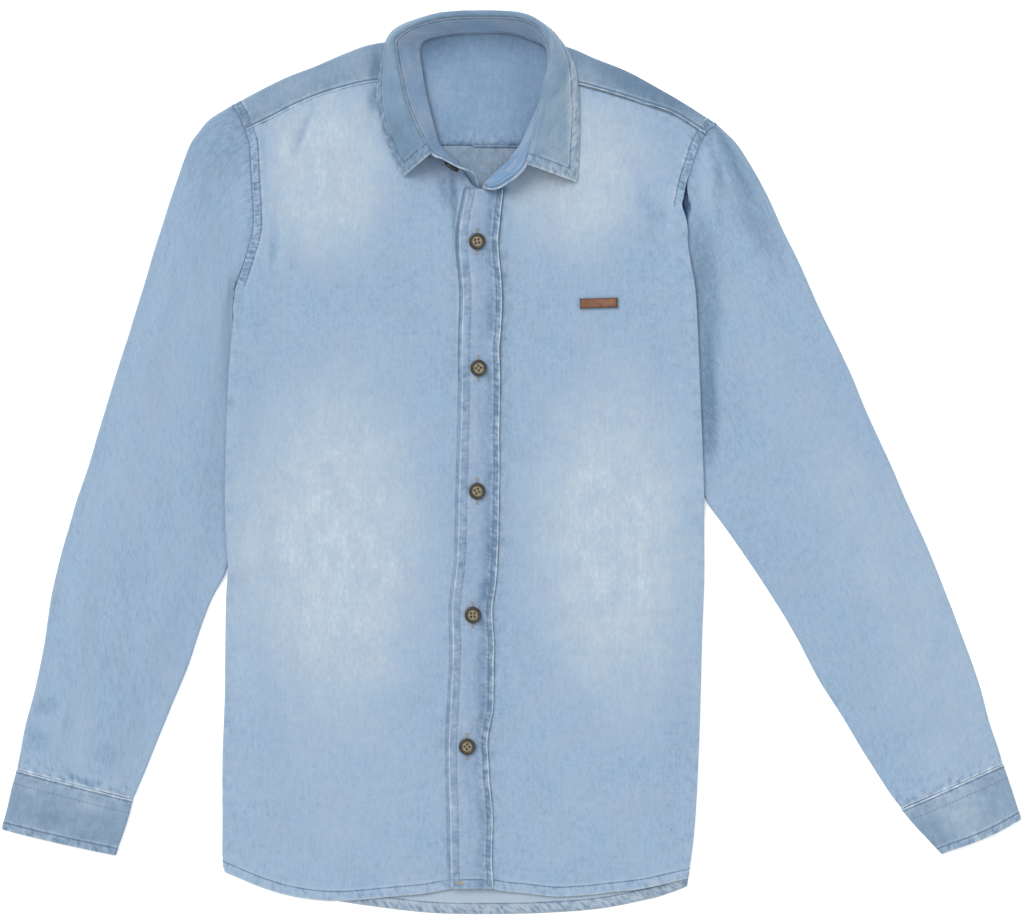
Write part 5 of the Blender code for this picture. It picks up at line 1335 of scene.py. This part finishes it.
def armhole_ring(side, normal, out_sign, shares):
    """A sleeve's first ring, which follows the armhole, and its bends."""
    rows = side[:ARMHOLE_END_ROW + 1]
    coarse = np.array([(row.x + out_sign * ARMHOLE_GAP, row.y, row.gape) for row in rows])
    coarse[0, :2] -= normal * SHOULDER_FOLD / 2.0
    reached = lengths_along(coarse[:, :2])
    fine = spline(coarse, np.interp(shares * reached[-1], reached, np.arange(len(rows))))
    under = fine[:, :2]
    over = under + np.array([out_sign, 0.0]) * np.maximum(fine[:, 2:], 0.0)
    bends = under - mix(under[0], under[-1], shares[:, None])
    length = np.linalg.norm(under[-1] - under[0])
    heights = mix(SLEEVE_EDGE, SHOULDER_FOLD, smooth((1.0 - shares) * length / SLEEVE_SWELL))
    return tube_ring(under, over, heights, normal, np.array([0.0, -1.0])), bends


def tube_piece(name, rings, step, ends, tuck, wall, finishes, node, wash_and_shade_patches, swell,
               spare_row=None):
    """A sleeve or cuff through its rings, sewn along both ends.

    ends holds the SeamKind of its first and of its last ring, and tuck is how far both run on into
    the next piece. spare_row is the distance of one more row of stitches from the first.
    """
    coarse = np.array(rings)
    places = graded_places(coarse.mean(axis=1), step)
    base = spline(coarse.reshape(len(rings), -1), places).reshape(len(places), -1, 3)
    across, along = places_over(base)
    sewn = [(ends[0], along, across, 1.0), (ends[1], along[-1:] - along, across, 1.0)]
    relief, marks = edge_marks(sewn)
    plan, height = base[..., :2], base[..., 2]
    swell = Swell(swell, *TUBE_SWELL)
    relief += swelling(swell, plan[..., 0], plan[..., 1], marks["edge"])
    relief *= smooth((height - UNDERSIDE) / UNDERSIDE_EASE)
    marks["fade"] = wash_and_shade_at(plan, wash_and_shade_patches)
    # Painted shade in the gap at the left armhole: at its lower end, and on the sleeve's bottom layer.
    marks["deep"] = wash_and_shade_at(plan, GAP_FOOT_SHADE)
    marks["deep"] += np.where(height < CLOTH, wash_and_shade_at(plan, GAP_SHADE), 0.0)
    normals = grid_normals(base, ring=True)
    if normals[len(places) // 2, TOP_POINT, 2] < 0.0:
        normals = -normals
    grid = base + normals * relief[..., None]
    grid[:, -1] = grid[:, 0]
    uv = np.stack([across, along], axis=-1)
    step_on = base[1, TOP_POINT] - base[0, TOP_POINT]
    step_round = base[0, TOP_POINT + 1] - base[0, TOP_POINT]
    order = slice(None) if np.cross(step_on, step_round)[2] > 0.0 else slice(None, None, -1)
    marks = {key: value[:, order] for key, value in marks.items()}
    made = tucked(grid[:, order], uv[:, order], marks, tuck, tuck)
    piece = cloth_object(name, *made, wall, finishes, ring=True, lowest=0.0)
    declare(piece, node, base)
    rows = [upper(row_at(grid, away, kind.band)) for kind, away, _, _ in sewn if kind.rise]
    if spare_row:
        rows.append(upper(row_at(grid, along, spare_row)))
    if rows:
        sew(f"{node}_stitches", rows, TOPSTITCH)


def make_sleeves():
    cloth = bpy.context.scene.shirt_cloth
    shares = graded(1.0, 0.018, (0.006, 0.012))
    for hand, side, sections, normal, out_sign in (
            ("right", RIGHT_SIDE, SLEEVE_RIGHT, shoulder_normals(YOKE_RIGHT)[0], -1.0),
            ("left", LEFT_SIDE, SLEEVE_LEFT, shoulder_normals(YOKE_LEFT)[-1], 1.0)):
        first, bends = armhole_ring(side, normal, out_sign, shares)
        rings = [first] + [section_ring(section, bends, shares, SLEEVE_EDGE, SLEEVE_TUCK, SLEEVE_EASE)
                           for section in sections]
        tube_piece(f"sleeve_{hand}_cloth", rings, cloth.step, (SLEEVE_HEAD, SLEEVE_END), TUCK, CLOTH,
                   denims("body", "inner"), f"sleeve_{hand}", SLEEVE_WASH_AND_SHADE,
                   0.25 * cloth.swell)


def make_cuffs():
    shares = graded(1.0, 0.02, (0.008, 0.016))
    bends = np.stack([shares * 0.0, -CUFF_BOW * shares * (1.0 - shares)], axis=-1)
    for hand, sections in (("right", CUFF_RIGHT), ("left", CUFF_LEFT)):
        rings = [section_ring(s, bends, shares, s.fold, 0.0, CUFF_EASE) for s in sections]
        tube_piece(f"cuff_{hand}_band", rings, 1.1, (CUFF_TOP, CUFF_END), 0.0, CUFF_WALL,
                   denims("cuff", "inner"), f"cuff_{hand}", CUFF_FADES, 0.3, CUFF_ROW)


# ---------------------------------------------------------------- collar

STAND_HEIGHT = 16.0
FRONT_OF_BAND = 236.0           # the band's front lies below this y
NECK_HEIGHT = 12.0              # of the place that the band's inner side faces
ROLL_LENGTH = 1.5               # hidden length of the leaf before its roll
LEAF_END_COLUMNS = 30           # columns that hold the rows of stitches along the leaf's ends
STAND_SWELL = Swell(0.25, 30.0, 6.0, 5.0)
LEAF_SWELL = Swell(0.35, 26.0, 2.0, 10.0)


def collar_line(kind, places, first=0, last=None):
    points = [[getattr(row, f"{kind}_{axis}") for axis in "xyz"] for row in COLLAR[first:last]]
    return spline(points, np.asarray(places) - first)


def stand_points(places, share):
    """Middle of the stand at places round the neck, share 0 at its foot and 1 at its top edge."""
    return mix(collar_line("foot", places), collar_line("top", places), share)


def inner_row(grid, away, level):
    """A row on the side of the collar band that faces the neck."""
    row = row_at(grid, away, level)
    neck = np.array([*NECK_MIDDLE, NECK_HEIGHT])
    row[:, 3:] *= np.sign(((neck - row[:, :3]) * row[:, 3:]).sum(axis=1))[:, None]
    return row


def collar_cloth(name, node, key, grid, across, along, marks, base):
    uv = np.stack([along, across], axis=-1)
    piece = cloth_object(name, grid, uv, marks, COLLAR_WALL, denims(key), offset=0.0)
    declare(piece, node, base)


def make_collar_stand():
    places = graded_places((points_in(COLLAR, "foot_") + points_in(COLLAR, "top_")) / 2.0, 1.5)
    shares = graded(STAND_HEIGHT, 1.1, (0.4, 1.0)) / STAND_HEIGHT
    base = np.stack([stand_points(places, share) for share in shares])
    across, along = places_over(base)
    ends = np.minimum(across, across[:, -1:] - across)
    from_top = along[-1:] - along
    at_back = smooth((base[..., 1] - FOOT_ROW_FROM) / 6.0)
    relief, marks = edge_marks([
        (STAND_TOP, from_top, across, 1.0), (STAND_FOOT, along, across, at_back),
        (STAND_TOP, ends, along, 1.0)])
    in_front = smooth((FRONT_OF_BAND - base[..., 1]) / 24.0)
    marks["fade"] = 0.13 - 0.17 * in_front + 0.06 * drift(across, along, 40.0, 2.0)
    relief += swelling(STAND_SWELL, across, along * 2.0, marks["edge"])
    grid = base + grid_normals(base) * relief[..., None]
    collar_cloth("collar_stand_band", "collar_stand", "stand", grid, across, along, marks, base)
    foot_row = inner_row(grid, along, STAND_FOOT.band)
    rows = [inner_row(grid, from_top, STAND_TOP.band), foot_row[foot_row[:, 1] > FOOT_ROW_FROM]]
    sew("collar_stand_stitches", rows, TOPSTITCH, COLLAR_LIFT)


def leaf_grid():
    """Middle of the turned-down collar, from the stand's top edge over its roll to the leaf's edge."""
    places = LEAF_FIRST + graded_places(points_in(COLLAR[LEAF_FIRST:LEAF_LAST + 1], "leaf_"), 1.4)
    top = stand_points(places, 1.0)
    edge = collar_line("leaf", places, LEAF_FIRST, LEAF_LAST + 1)
    out = (edge - top) * LEVEL
    reach = np.linalg.norm(out, axis=-1, keepdims=True)
    squeeze = np.minimum(1.0, reach / (ROLL[-1][0] + LEAF_CLEAR))
    out = out / reach
    coarse = [top + out * (o * squeeze) + UPWARD * (COLLAR_WALL / 2.0 + u) for o, u in ROLL]
    last = coarse[-1]
    for share in LEAF_ROWS:
        point = mix(last, edge, share)
        point[:, 2] = mix(last[:, 2], edge[:, 2], share ** LEAF_BEND)
        coarse.append(point)
    coarse = np.array(coarse)
    rows = graded_places(coarse[:, int(np.argmax(reach))], 1.2)
    return spline(coarse.reshape(len(coarse), -1), rows).reshape(len(rows), len(places), 3)


def make_collar_leaf():
    base = leaf_grid()
    across, along = places_over(base)
    depth = along[-1:] - along
    back_across = across[:, -1:] - across
    ends = np.minimum(across, back_across)
    relief, marks = edge_marks([
        (TUCKED_EDGE, along + ROLL_LENGTH, across, 1.0), (LEAF_EDGE, depth, across, 1.0),
        (LEAF_EDGE, ends, along, 1.0)])
    marks["fade"] = 0.05 * drift(across, along, 34.0, 7.0) + wash_and_shade_at(base[..., :2], COLLAR_WASH_AND_SHADE)
    normals = grid_normals(base)
    if normals[len(base) // 2, 5, 2] < 0.0:
        normals = -normals
    relief += swelling(LEAF_SWELL, across, along, marks["edge"])
    grid = base + normals * relief[..., None]
    collar_cloth("collar_leaf", "collar_fall", "collar", grid, across, along, marks, base)
    band = LEAF_EDGE.band
    rows = [row_at(grid, np.where(ends < band, FAR, depth), band)]
    for away, part in ((across, slice(None, LEAF_END_COLUMNS)),
                       (back_across, slice(-LEAF_END_COLUMNS, None))):
        away = np.where(depth < band, FAR, away)
        rows.append(row_at(grid[:, part], away[:, part], band, False))
    sew("collar_leaf_stitches", [row for row in rows if len(row)], TOPSTITCH, COLLAR_LIFT)


# ---------------------------------------------------------------- buttonholes, buttons and tab

DRILL_SIDES, DRILL_DEPTH = 14, 0.02
TAB_ROUND, TAB_ROUND_WIDTH = 0.35, 1.1     # drop of the tab's edge and its width
BUTTONHOLE_END = 1.3            # half width of a buttonhole's ends
BARTACK_REACH = 2.6
BAND_BUTTONHOLE_SIDE = 0.06     # of its two rows from its middle, as a share of the band's height
STRAND_SIDES, STRAND_RINGS = 6, 7
STRAND_RADIUS = 0.13
STRAND_APART = 0.15             # of two strands from the middle of their bar
STRAND_FOOT, STRAND_ARCH = 1.3, 0.6


def make_buttonholes():
    """Vertical buttonholes under the buttons, the slanting one of the collar band, and the bartack."""
    placket = surface_tree("placket_band")

    def row_on_placket(a, b, count=12):
        return straight_row(on_surface(placket, *a), on_surface(placket, *b), count)

    rows = []
    for x, y in BUTTONS:
        top, bottom = y + BUTTONHOLE_LENGTH / 2.0, y - BUTTONHOLE_LENGTH / 2.0
        rows += [row_on_placket((x + side, bottom), (x + side, top))
                 for side in (-BUTTONHOLE_SIDE, BUTTONHOLE_SIDE)]
        rows += [row_on_placket((x - BUTTONHOLE_END, end), (x + BUTTONHOLE_END, end), 4)
                 for end in (bottom, top)]
    sew("buttonhole_stitches", rows, BUTTONHOLE_STITCH, CLOSE_LIFT)
    x, y = BARTACK
    row = row_on_placket((x - BARTACK_REACH, y), (x + BARTACK_REACH, y), 6)
    sew("placket_bartack", [row], BARTACK_STITCH, CLOSE_LIFT)

    band = surface_tree("collar_stand_band")
    neck = Vector((*NECK_MIDDLE, NECK_HEIGHT))
    rows = []
    for shift in (-BAND_BUTTONHOLE_SIDE, BAND_BUTTONHOLE_SIDE):
        row = []
        for place in stand_points(np.linspace(*BAND_BUTTONHOLE, 10), BAND_BUTTONHOLE_HEIGHT + shift):
            near = band.find_nearest(Vector(place * METRE))[0]
            toward = (neck * METRE - near).normalized()
            near, normal, _, _ = band.find_nearest(near + toward * 2.0 * METRE)
            row.append((*(near / METRE), *normal))
        rows.append(np.array(row))
    sew("band_buttonhole_stitches", rows, BAND_BUTTONHOLE_STITCH, CLOSE_LIFT)


def button_shape():
    """A turned disc with a rounded rim, a dished face and four holes, its underside at z = 0."""
    turned = bmesh.new()
    profile = spline(BUTTON_PROFILE, np.linspace(0.0, len(BUTTON_PROFILE) - 1, 25), BUTTON_CORNERS)
    verts = [turned.verts.new((r * METRE, 0.0, z * METRE)) for r, z in profile]
    edges = [turned.edges.new(pair) for pair in zip(verts, verts[1:])]
    bmesh.ops.spin(turned, geom=verts + edges, cent=(0.0, 0.0, 0.0), axis=(0.0, 0.0, 1.0),
                   angle=math.tau, steps=BUTTON_SIDES)
    bmesh.ops.remove_doubles(turned, verts=turned.verts, dist=1e-6)
    bmesh.ops.recalc_face_normals(turned, faces=turned.faces)
    disc = add_object("button_shape", mesh_from(turned, "button_shape"))
    cutters = []
    for i in range(4):
        angle = math.tau * (i + 0.5) / 4.0
        cut = bmesh.new()
        toward = Vector((math.cos(angle), math.sin(angle), 0.0))
        bmesh.ops.create_cone(cut, cap_ends=True, segments=DRILL_SIDES, radius1=HOLE_RADIUS * METRE,
                              radius2=HOLE_RADIUS * METRE, depth=DRILL_DEPTH,
                              matrix=Matrix.Translation(toward * HOLE_OFFSET * METRE))
        name = f"button_drill_{i}"
        cutters.append(add_object(name, mesh_from(cut, name)))
        hole = disc.modifiers.new(f"Hole {i + 1}", "BOOLEAN")
        hole.operation = "DIFFERENCE"
        hole.solver = "EXACT"
        hole.object = cutters[-1]
    plain_mesh(disc, "button")
    made = disc.data
    for spare in (disc, *cutters):
        bpy.data.objects.remove(spare)
    out = made.attributes.new("out", "FLOAT", "POINT")
    for vert, value in zip(made.vertices, out.data):
        value.value = math.hypot(vert.co.x, vert.co.y) / (BUTTON_RADIUS * METRE)
    made.shade_smooth()
    made.set_sharp_from_angle(angle=math.radians(40.0))
    return made


def horn_finish():
    """Mottled horn: a dark burnt rim round a tan face."""
    made = Finish("button horn")
    grain = made.noise(made.scaled(made.place(), (260.0, 420.0, 300.0)), detail=3.0, distortion=0.8)
    out = made.maths("MULTIPLY_ADD", made.less(grain, 0.5), 0.22, made.attribute("out"))
    stops = ((0.0, (0.22, 0.18, 0.11)), (0.5, (0.28, 0.23, 0.14)), (0.64, (0.06, 0.05, 0.035)),
             (1.0, (0.018, 0.017, 0.015)))
    return made.painted({"Base Color": made.ramp(out, stops), "Normal": made.bump(grain, 0.15, 0.0001),
                         "Roughness": 0.42, "Coat Weight": 0.1, "Coat Roughness": 0.2})


def strand(mesh, a, b, arch, radius):
    """Adds a thread that arches from one place to another."""
    side = (b - a).cross(arch).normalized()
    rings = []
    for share in np.linspace(0.0, 1.0, STRAND_RINGS):
        middle = a.lerp(b, float(share)) + arch * math.sin(math.pi * share)
        rings.append([mesh.verts.new(middle + side * (radius * math.cos(turn))
                                     + arch.normalized() * (radius * math.sin(turn)))
                      for turn in np.linspace(0.0, math.tau, STRAND_SIDES, endpoint=False)])
    for low, high in zip(rings, rings[1:]):
        for i in range(STRAND_SIDES):
            on = (i + 1) % STRAND_SIDES
            mesh.faces.new((low[i], low[on], high[on], high[i]))
    for ring in (rings[0], rings[-1]):
        mesh.faces.new(ring)


def collar_button_place():
    """Place of the button that is sewn to the outer side of the collar band."""
    seat, ahead = (Vector(stand_points([COLLAR_BUTTON_STATION + step], COLLAR_BUTTON_HEIGHT)[0])
                   for step in (0.0, COLLAR_BUTTON_AHEAD))
    up = Vector(stand_points([COLLAR_BUTTON_STATION], 1.0)[0]
                - stand_points([COLLAR_BUTTON_STATION], 0.0)[0])
    outward = up.cross(ahead - seat).normalized()
    if outward.y > 0.0:
        outward.negate()
    seat += outward * (COLLAR_WALL / 2.0 + COLLAR_BUTTON_CLEAR)
    return Matrix.Translation(seat * METRE) @ outward.to_track_quat("Z", "Y").to_matrix().to_4x4()


def make_buttons():
    """Buttons on the placket and on the collar band, sewn on with two bars of thread."""
    shape = button_shape()
    shape.materials.append(horn_finish())
    thread = thread_finish(*BUTTON_THREAD)
    placed = []
    for i, (x, y) in enumerate(BUTTONS):
        place = Matrix.Translation(Vector((x, y, placket_under(x, y) + LAYER)) * METRE)
        placed.append((f"button_{i + 1}", place @ Matrix.Rotation(BUTTON_TURNS[i], 4, "Z")))
    placed.append(("button_collar", collar_button_place()))
    reach = HOLE_OFFSET * math.sqrt(0.5)
    for node, place in placed:
        mesh = shape.copy()
        mesh.transform(place)
        show(add_object(f"{node}_horn", mesh), node)
        bars = bmesh.new()
        for x in (-reach, reach):
            for shift in (-STRAND_APART, STRAND_APART):
                strand(bars, Vector((x + shift, -reach, STRAND_FOOT)) * METRE,
                       Vector((x + shift, reach, STRAND_FOOT)) * METRE,
                       Vector((0.0, 0.0, STRAND_ARCH)) * METRE, STRAND_RADIUS * METRE)
        bmesh.ops.recalc_face_normals(bars, faces=bars.faces)
        mesh = mesh_from(bars, f"{node}_thread")
        mesh.transform(place)
        mesh.materials.append(thread)
        mesh.shade_smooth()
        show(add_object(f"{node}_thread", mesh))


def leather_finish():
    """Brown leather with a fine pebbled grain and burnished dark edges."""
    made = Finish("tab leather")
    place = made.place()
    pebble = made.add("ShaderNodeTexVoronoi", {"Vector": made.scaled(place, (1500.0,) * 3)})
    pebble = pebble.outputs["Distance"]
    tone = made.noise(made.scaled(place, (240.0, 300.0, 200.0)), detail=3.0)
    rim = made.ridge(made.attribute("edge"), 1.3)
    value = made.sum(0.55, ((tone, 0.5, 0.9), (rim, 0.0, -0.6), (pebble, 0.5, 0.15)))
    stops = ((0.0, (0.035, 0.018, 0.012)), (0.45, (0.17, 0.068, 0.034)), (1.0, (0.32, 0.15, 0.08)))
    return made.painted({"Base Color": made.ramp(value, stops),
                         "Normal": made.bump(pebble, 0.3, 0.0002),
                         "Roughness": made.maths("MULTIPLY_ADD", tone, 0.25, 0.42)})


def make_tab():
    """Leather tab on the wearer's left front, with rounded edges."""
    width, height, thickness = TAB_SIZE
    across, down = (graded(size, 0.8, (0.15, 0.45, 0.9)) - size / 2.0 for size in (width, height))
    x, y = np.meshgrid(across, down)
    edge = np.minimum(width / 2.0 - np.abs(x), height / 2.0 - np.abs(y))
    corner = np.hypot(np.maximum(np.abs(x) - width / 2.0 + TAB_CORNER, 0.0),
                      np.maximum(np.abs(y) - height / 2.0 + TAB_CORNER, 0.0))
    pull = np.minimum(1.0, TAB_CORNER / np.maximum(corner, 1e-6))
    for values, size in ((x, width), (y, height)):
        start = size / 2.0 - TAB_CORNER
        outside = np.maximum(np.abs(values) - start, 0.0)
        values[...] = np.sign(values) * (np.minimum(np.abs(values), start) + outside * pull)
    placed = np.stack([x * math.cos(TAB_TURN) - y * math.sin(TAB_TURN) + TAB_CENTRE[0],
                       x * math.sin(TAB_TURN) + y * math.cos(TAB_TURN) + TAB_CENTRE[1]], axis=-1)
    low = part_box("leather_tab")[0][2] / METRE
    z = low + thickness - TAB_ROUND * (1.0 - smooth(edge / TAB_ROUND_WIDTH))
    z += 0.06 * drift(x, y, 14.0, 1.0)
    grid = np.concatenate([placed, z[..., None]], axis=-1)
    piece = cloth_object("tab_leather_patch", grid, placed, {"edge": edge}, thickness,
                         (leather_finish(),))
    show(piece, "leather_tab")


# ---------------------------------------------------------------- stage

FLOOR_DROP = 0.0002             # keeps the floor clear of the cloth that lies on it, in metres
SENSOR = 36.0
LIT = (1.0, 1.0, 1.0, 1.0)


def make_stage():
    scene, settings = bpy.context.scene, bpy.context.scene.shirt_stage
    scene.view_settings.view_transform = "Standard"
    floor = bmesh.new()
    bmesh.ops.create_grid(floor, x_segments=2, y_segments=2, size=settings.floor_size / 2.0)
    piece = add_object("floor", mesh_from(floor, "floor"))
    piece.location.z = -FLOOR_DROP
    paint = Finish("floor paint")
    grain = paint.noise(paint.scaled(paint.place(), (6.0,) * 3), detail=2.0)
    white = tuple(settings.floor_colour)
    stops = ((0.0, tuple(0.99 * c for c in white)), (1.0, white))
    piece.data.materials.append(paint.painted({
        "Base Color": paint.ramp(grain, stops), "Roughness": 0.9, "Emission Color": LIT,
        "Emission Strength": settings.floor_glow}))

    world = bpy.data.worlds.new("soft studio")
    world.use_nodes = True
    sky = world.node_tree.nodes["Background"]
    sky.inputs["Color"].default_value = LIT
    sky.inputs["Strength"].default_value = settings.fill
    scene.world = world
    for name, place, strength in (("key light", (-0.75, 0.85, 1.3), settings.key),
                                  ("side light", (1.1, -0.5, 1.1), settings.side)):
        lamp = bpy.data.lights.new(name, "SUN")
        lamp.angle = settings.key_spread
        lamp.energy = strength
        held = add_object(name, lamp)
        held.location = place
        held.rotation_mode = "QUATERNION"
        held.rotation_quaternion = (-Vector(place)).to_track_quat("-Z", "Y")

    camera = bpy.data.cameras.new("camera")
    camera.sensor_fit = "HORIZONTAL"
    camera.sensor_width = SENSOR
    camera.lens = SENSOR * (settings.camera_height - BODY_RISE * METRE) / settings.frame_width
    camera.clip_end = 10.0
    held = add_object("camera", camera)
    held.location = (*settings.frame_centre, settings.camera_height)
    scene.camera = held


# ---------------------------------------------------------------- settings and operators

def number(name, description, default, **settings):
    return FloatProperty(name=name, description=description, default=default, **settings)


def colour(name, description, default):
    return FloatVectorProperty(name=name, description=description, default=default, size=3,
                               subtype="COLOR")


class ShirtCloth(bpy.types.PropertyGroup):
    """Sizes and colours of the denim."""
    step: number("Grid step", "Spacing of the cloth's points, in millimetres", 1.7, min=1.0, max=6.0)
    swell: number("Swell", "Strength of the cloth's slow unevenness", 1.0, min=0.0, max=3.0)
    twill_pitch: number("Twill pitch", "Width of a twill rib, in millimetres", 0.6, min=0.3, max=3.0)
    body: colour("Body", "Body denim before fading", (0.290, 0.400, 0.545))
    inner: colour("Inner side", "Wrong side of the denim", (0.365, 0.448, 0.546))
    yoke: colour("Yoke", "Denim of the yoke", (0.235, 0.326, 0.440))
    lining: colour("Yoke lining", "Inside of the yoke", (0.216, 0.323, 0.476))
    collar: colour("Collar", "Denim of the collar", (0.200, 0.302, 0.424))
    stand: colour("Collar band", "Denim of the collar band", (0.214, 0.332, 0.505))
    placket: colour("Placket", "Denim of the placket", (0.264, 0.361, 0.505))
    cuff: colour("Cuff", "Denim of the cuffs", (0.240, 0.335, 0.455))
    faded: colour("Faded", "Denim where the wash took the dye", (0.425, 0.510, 0.605))
    bleached: colour("Bleached", "Denim on worn edges", (0.64, 0.72, 0.79))


class ShirtStage(bpy.types.PropertyGroup):
    """Floor, light and camera."""
    floor_size: number("Floor size", "Side of the floor", 4.0, unit="LENGTH")
    floor_colour: colour("Floor colour", "Colour of the floor", (0.97, 0.97, 0.97))
    floor_glow: number("Floor glow", "Light that comes through the floor", 0.32)
    fill: number("Fill", "Strength of the light from all round", 0.66)
    key: number("Key", "Strength of the light from the upper left", 1.75)
    side: number("Side", "Strength of the light from the lower right", 0.4)
    key_spread: number("Spread", "Angle that each light seems to fill", math.radians(34.0),
                       subtype="ANGLE")
    camera_height: number("Camera height", "Height of the camera over the floor", 2.4, unit="LENGTH")
    frame_width: number("Frame width", "Width that the picture takes in", 0.7168, unit="LENGTH")
    frame_centre: FloatVectorProperty(name="Frame centre", description="Place under the camera",
                                      size=2, default=(0.00035, 0.00315), unit="LENGTH")


class SHIRT_OT_back(bpy.types.Operator):
    """Make the back panel, whose tail shows under the fronts"""
    bl_idname = "shirt.make_back"
    bl_label = "Back"
    bl_options = {"REGISTER", "UNDO"}

    def execute(self, context):
        make_back()
        return {"FINISHED"}


class SHIRT_OT_yoke(bpy.types.Operator):
    """Make the yoke over both shoulders"""
    bl_idname = "shirt.make_yoke"
    bl_label = "Yoke"
    bl_options = {"REGISTER", "UNDO"}

    def execute(self, context):
        make_yoke()
        return {"FINISHED"}


class SHIRT_OT_fronts(bpy.types.Operator):
    """Make both fronts and the placket"""
    bl_idname = "shirt.make_fronts"
    bl_label = "Fronts and placket"
    bl_options = {"REGISTER", "UNDO"}

    def execute(self, context):
        make_fronts()
        make_placket()
        return {"FINISHED"}


class SHIRT_OT_sleeves(bpy.types.Operator):
    """Make both sleeves and their cuffs"""
    bl_idname = "shirt.make_sleeves"
    bl_label = "Sleeves and cuffs"
    bl_options = {"REGISTER", "UNDO"}

    def execute(self, context):
        make_sleeves()
        make_cuffs()
        return {"FINISHED"}


class SHIRT_OT_collar(bpy.types.Operator):
    """Make the collar band and the turned-down collar"""
    bl_idname = "shirt.make_collar"
    bl_label = "Collar"
    bl_options = {"REGISTER", "UNDO"}

    def execute(self, context):
        make_collar_stand()
        make_collar_leaf()
        return {"FINISHED"}


class SHIRT_OT_buttonholes(bpy.types.Operator):
    """Make the buttonholes and the bartack"""
    bl_idname = "shirt.make_buttonholes"
    bl_label = "Buttonholes"
    bl_options = {"REGISTER", "UNDO"}

    def execute(self, context):
        make_buttonholes()
        return {"FINISHED"}


class SHIRT_OT_buttons(bpy.types.Operator):
    """Make the buttons and the thread that holds them"""
    bl_idname = "shirt.make_buttons"
    bl_label = "Buttons"
    bl_options = {"REGISTER", "UNDO"}

    def execute(self, context):
        make_buttons()
        return {"FINISHED"}


class SHIRT_OT_tab(bpy.types.Operator):
    """Make the leather tab"""
    bl_idname = "shirt.make_tab"
    bl_label = "Leather tab"
    bl_options = {"REGISTER", "UNDO"}

    def execute(self, context):
        make_tab()
        return {"FINISHED"}


class SHIRT_OT_stage(bpy.types.Operator):
    """Make the floor, the lights and the camera"""
    bl_idname = "shirt.make_stage"
    bl_label = "Stage"
    bl_options = {"REGISTER", "UNDO"}

    def execute(self, context):
        make_stage()
        return {"FINISHED"}


OPERATORS = (SHIRT_OT_back, SHIRT_OT_yoke, SHIRT_OT_fronts, SHIRT_OT_sleeves, SHIRT_OT_collar,
             SHIRT_OT_buttonholes, SHIRT_OT_buttons, SHIRT_OT_tab, SHIRT_OT_stage)


class SHIRT_PT_panel(bpy.types.Panel):
    """Steps and settings of the shirt"""
    bl_idname = "SHIRT_PT_panel"
    bl_label = "Denim Shirt"
    bl_space_type = "VIEW_3D"
    bl_region_type = "UI"
    bl_category = "Shirt"

    def draw(self, context):
        for operator in OPERATORS:
            self.layout.operator(operator.bl_idname)
        for settings in (context.scene.shirt_cloth, context.scene.shirt_stage):
            box = self.layout.box()
            for key in settings.__annotations__:
                box.prop(settings, key)


CLASSES = (ShirtCloth, ShirtStage, *OPERATORS, SHIRT_PT_panel)


def register():
    for made in CLASSES:
        bpy.utils.register_class(made)
    bpy.types.Scene.shirt_cloth = PointerProperty(type=ShirtCloth)
    bpy.types.Scene.shirt_stage = PointerProperty(type=ShirtStage)


def unregister():
    del bpy.types.Scene.shirt_stage
    del bpy.types.Scene.shirt_cloth
    for made in reversed(CLASSES):
        bpy.utils.unregister_class(made)


def main():
    register()
    for operator in OPERATORS:
        group, step = operator.bl_idname.split(".")
        getattr(getattr(bpy.ops, group), step)()


if __name__ == "__main__":
    main()
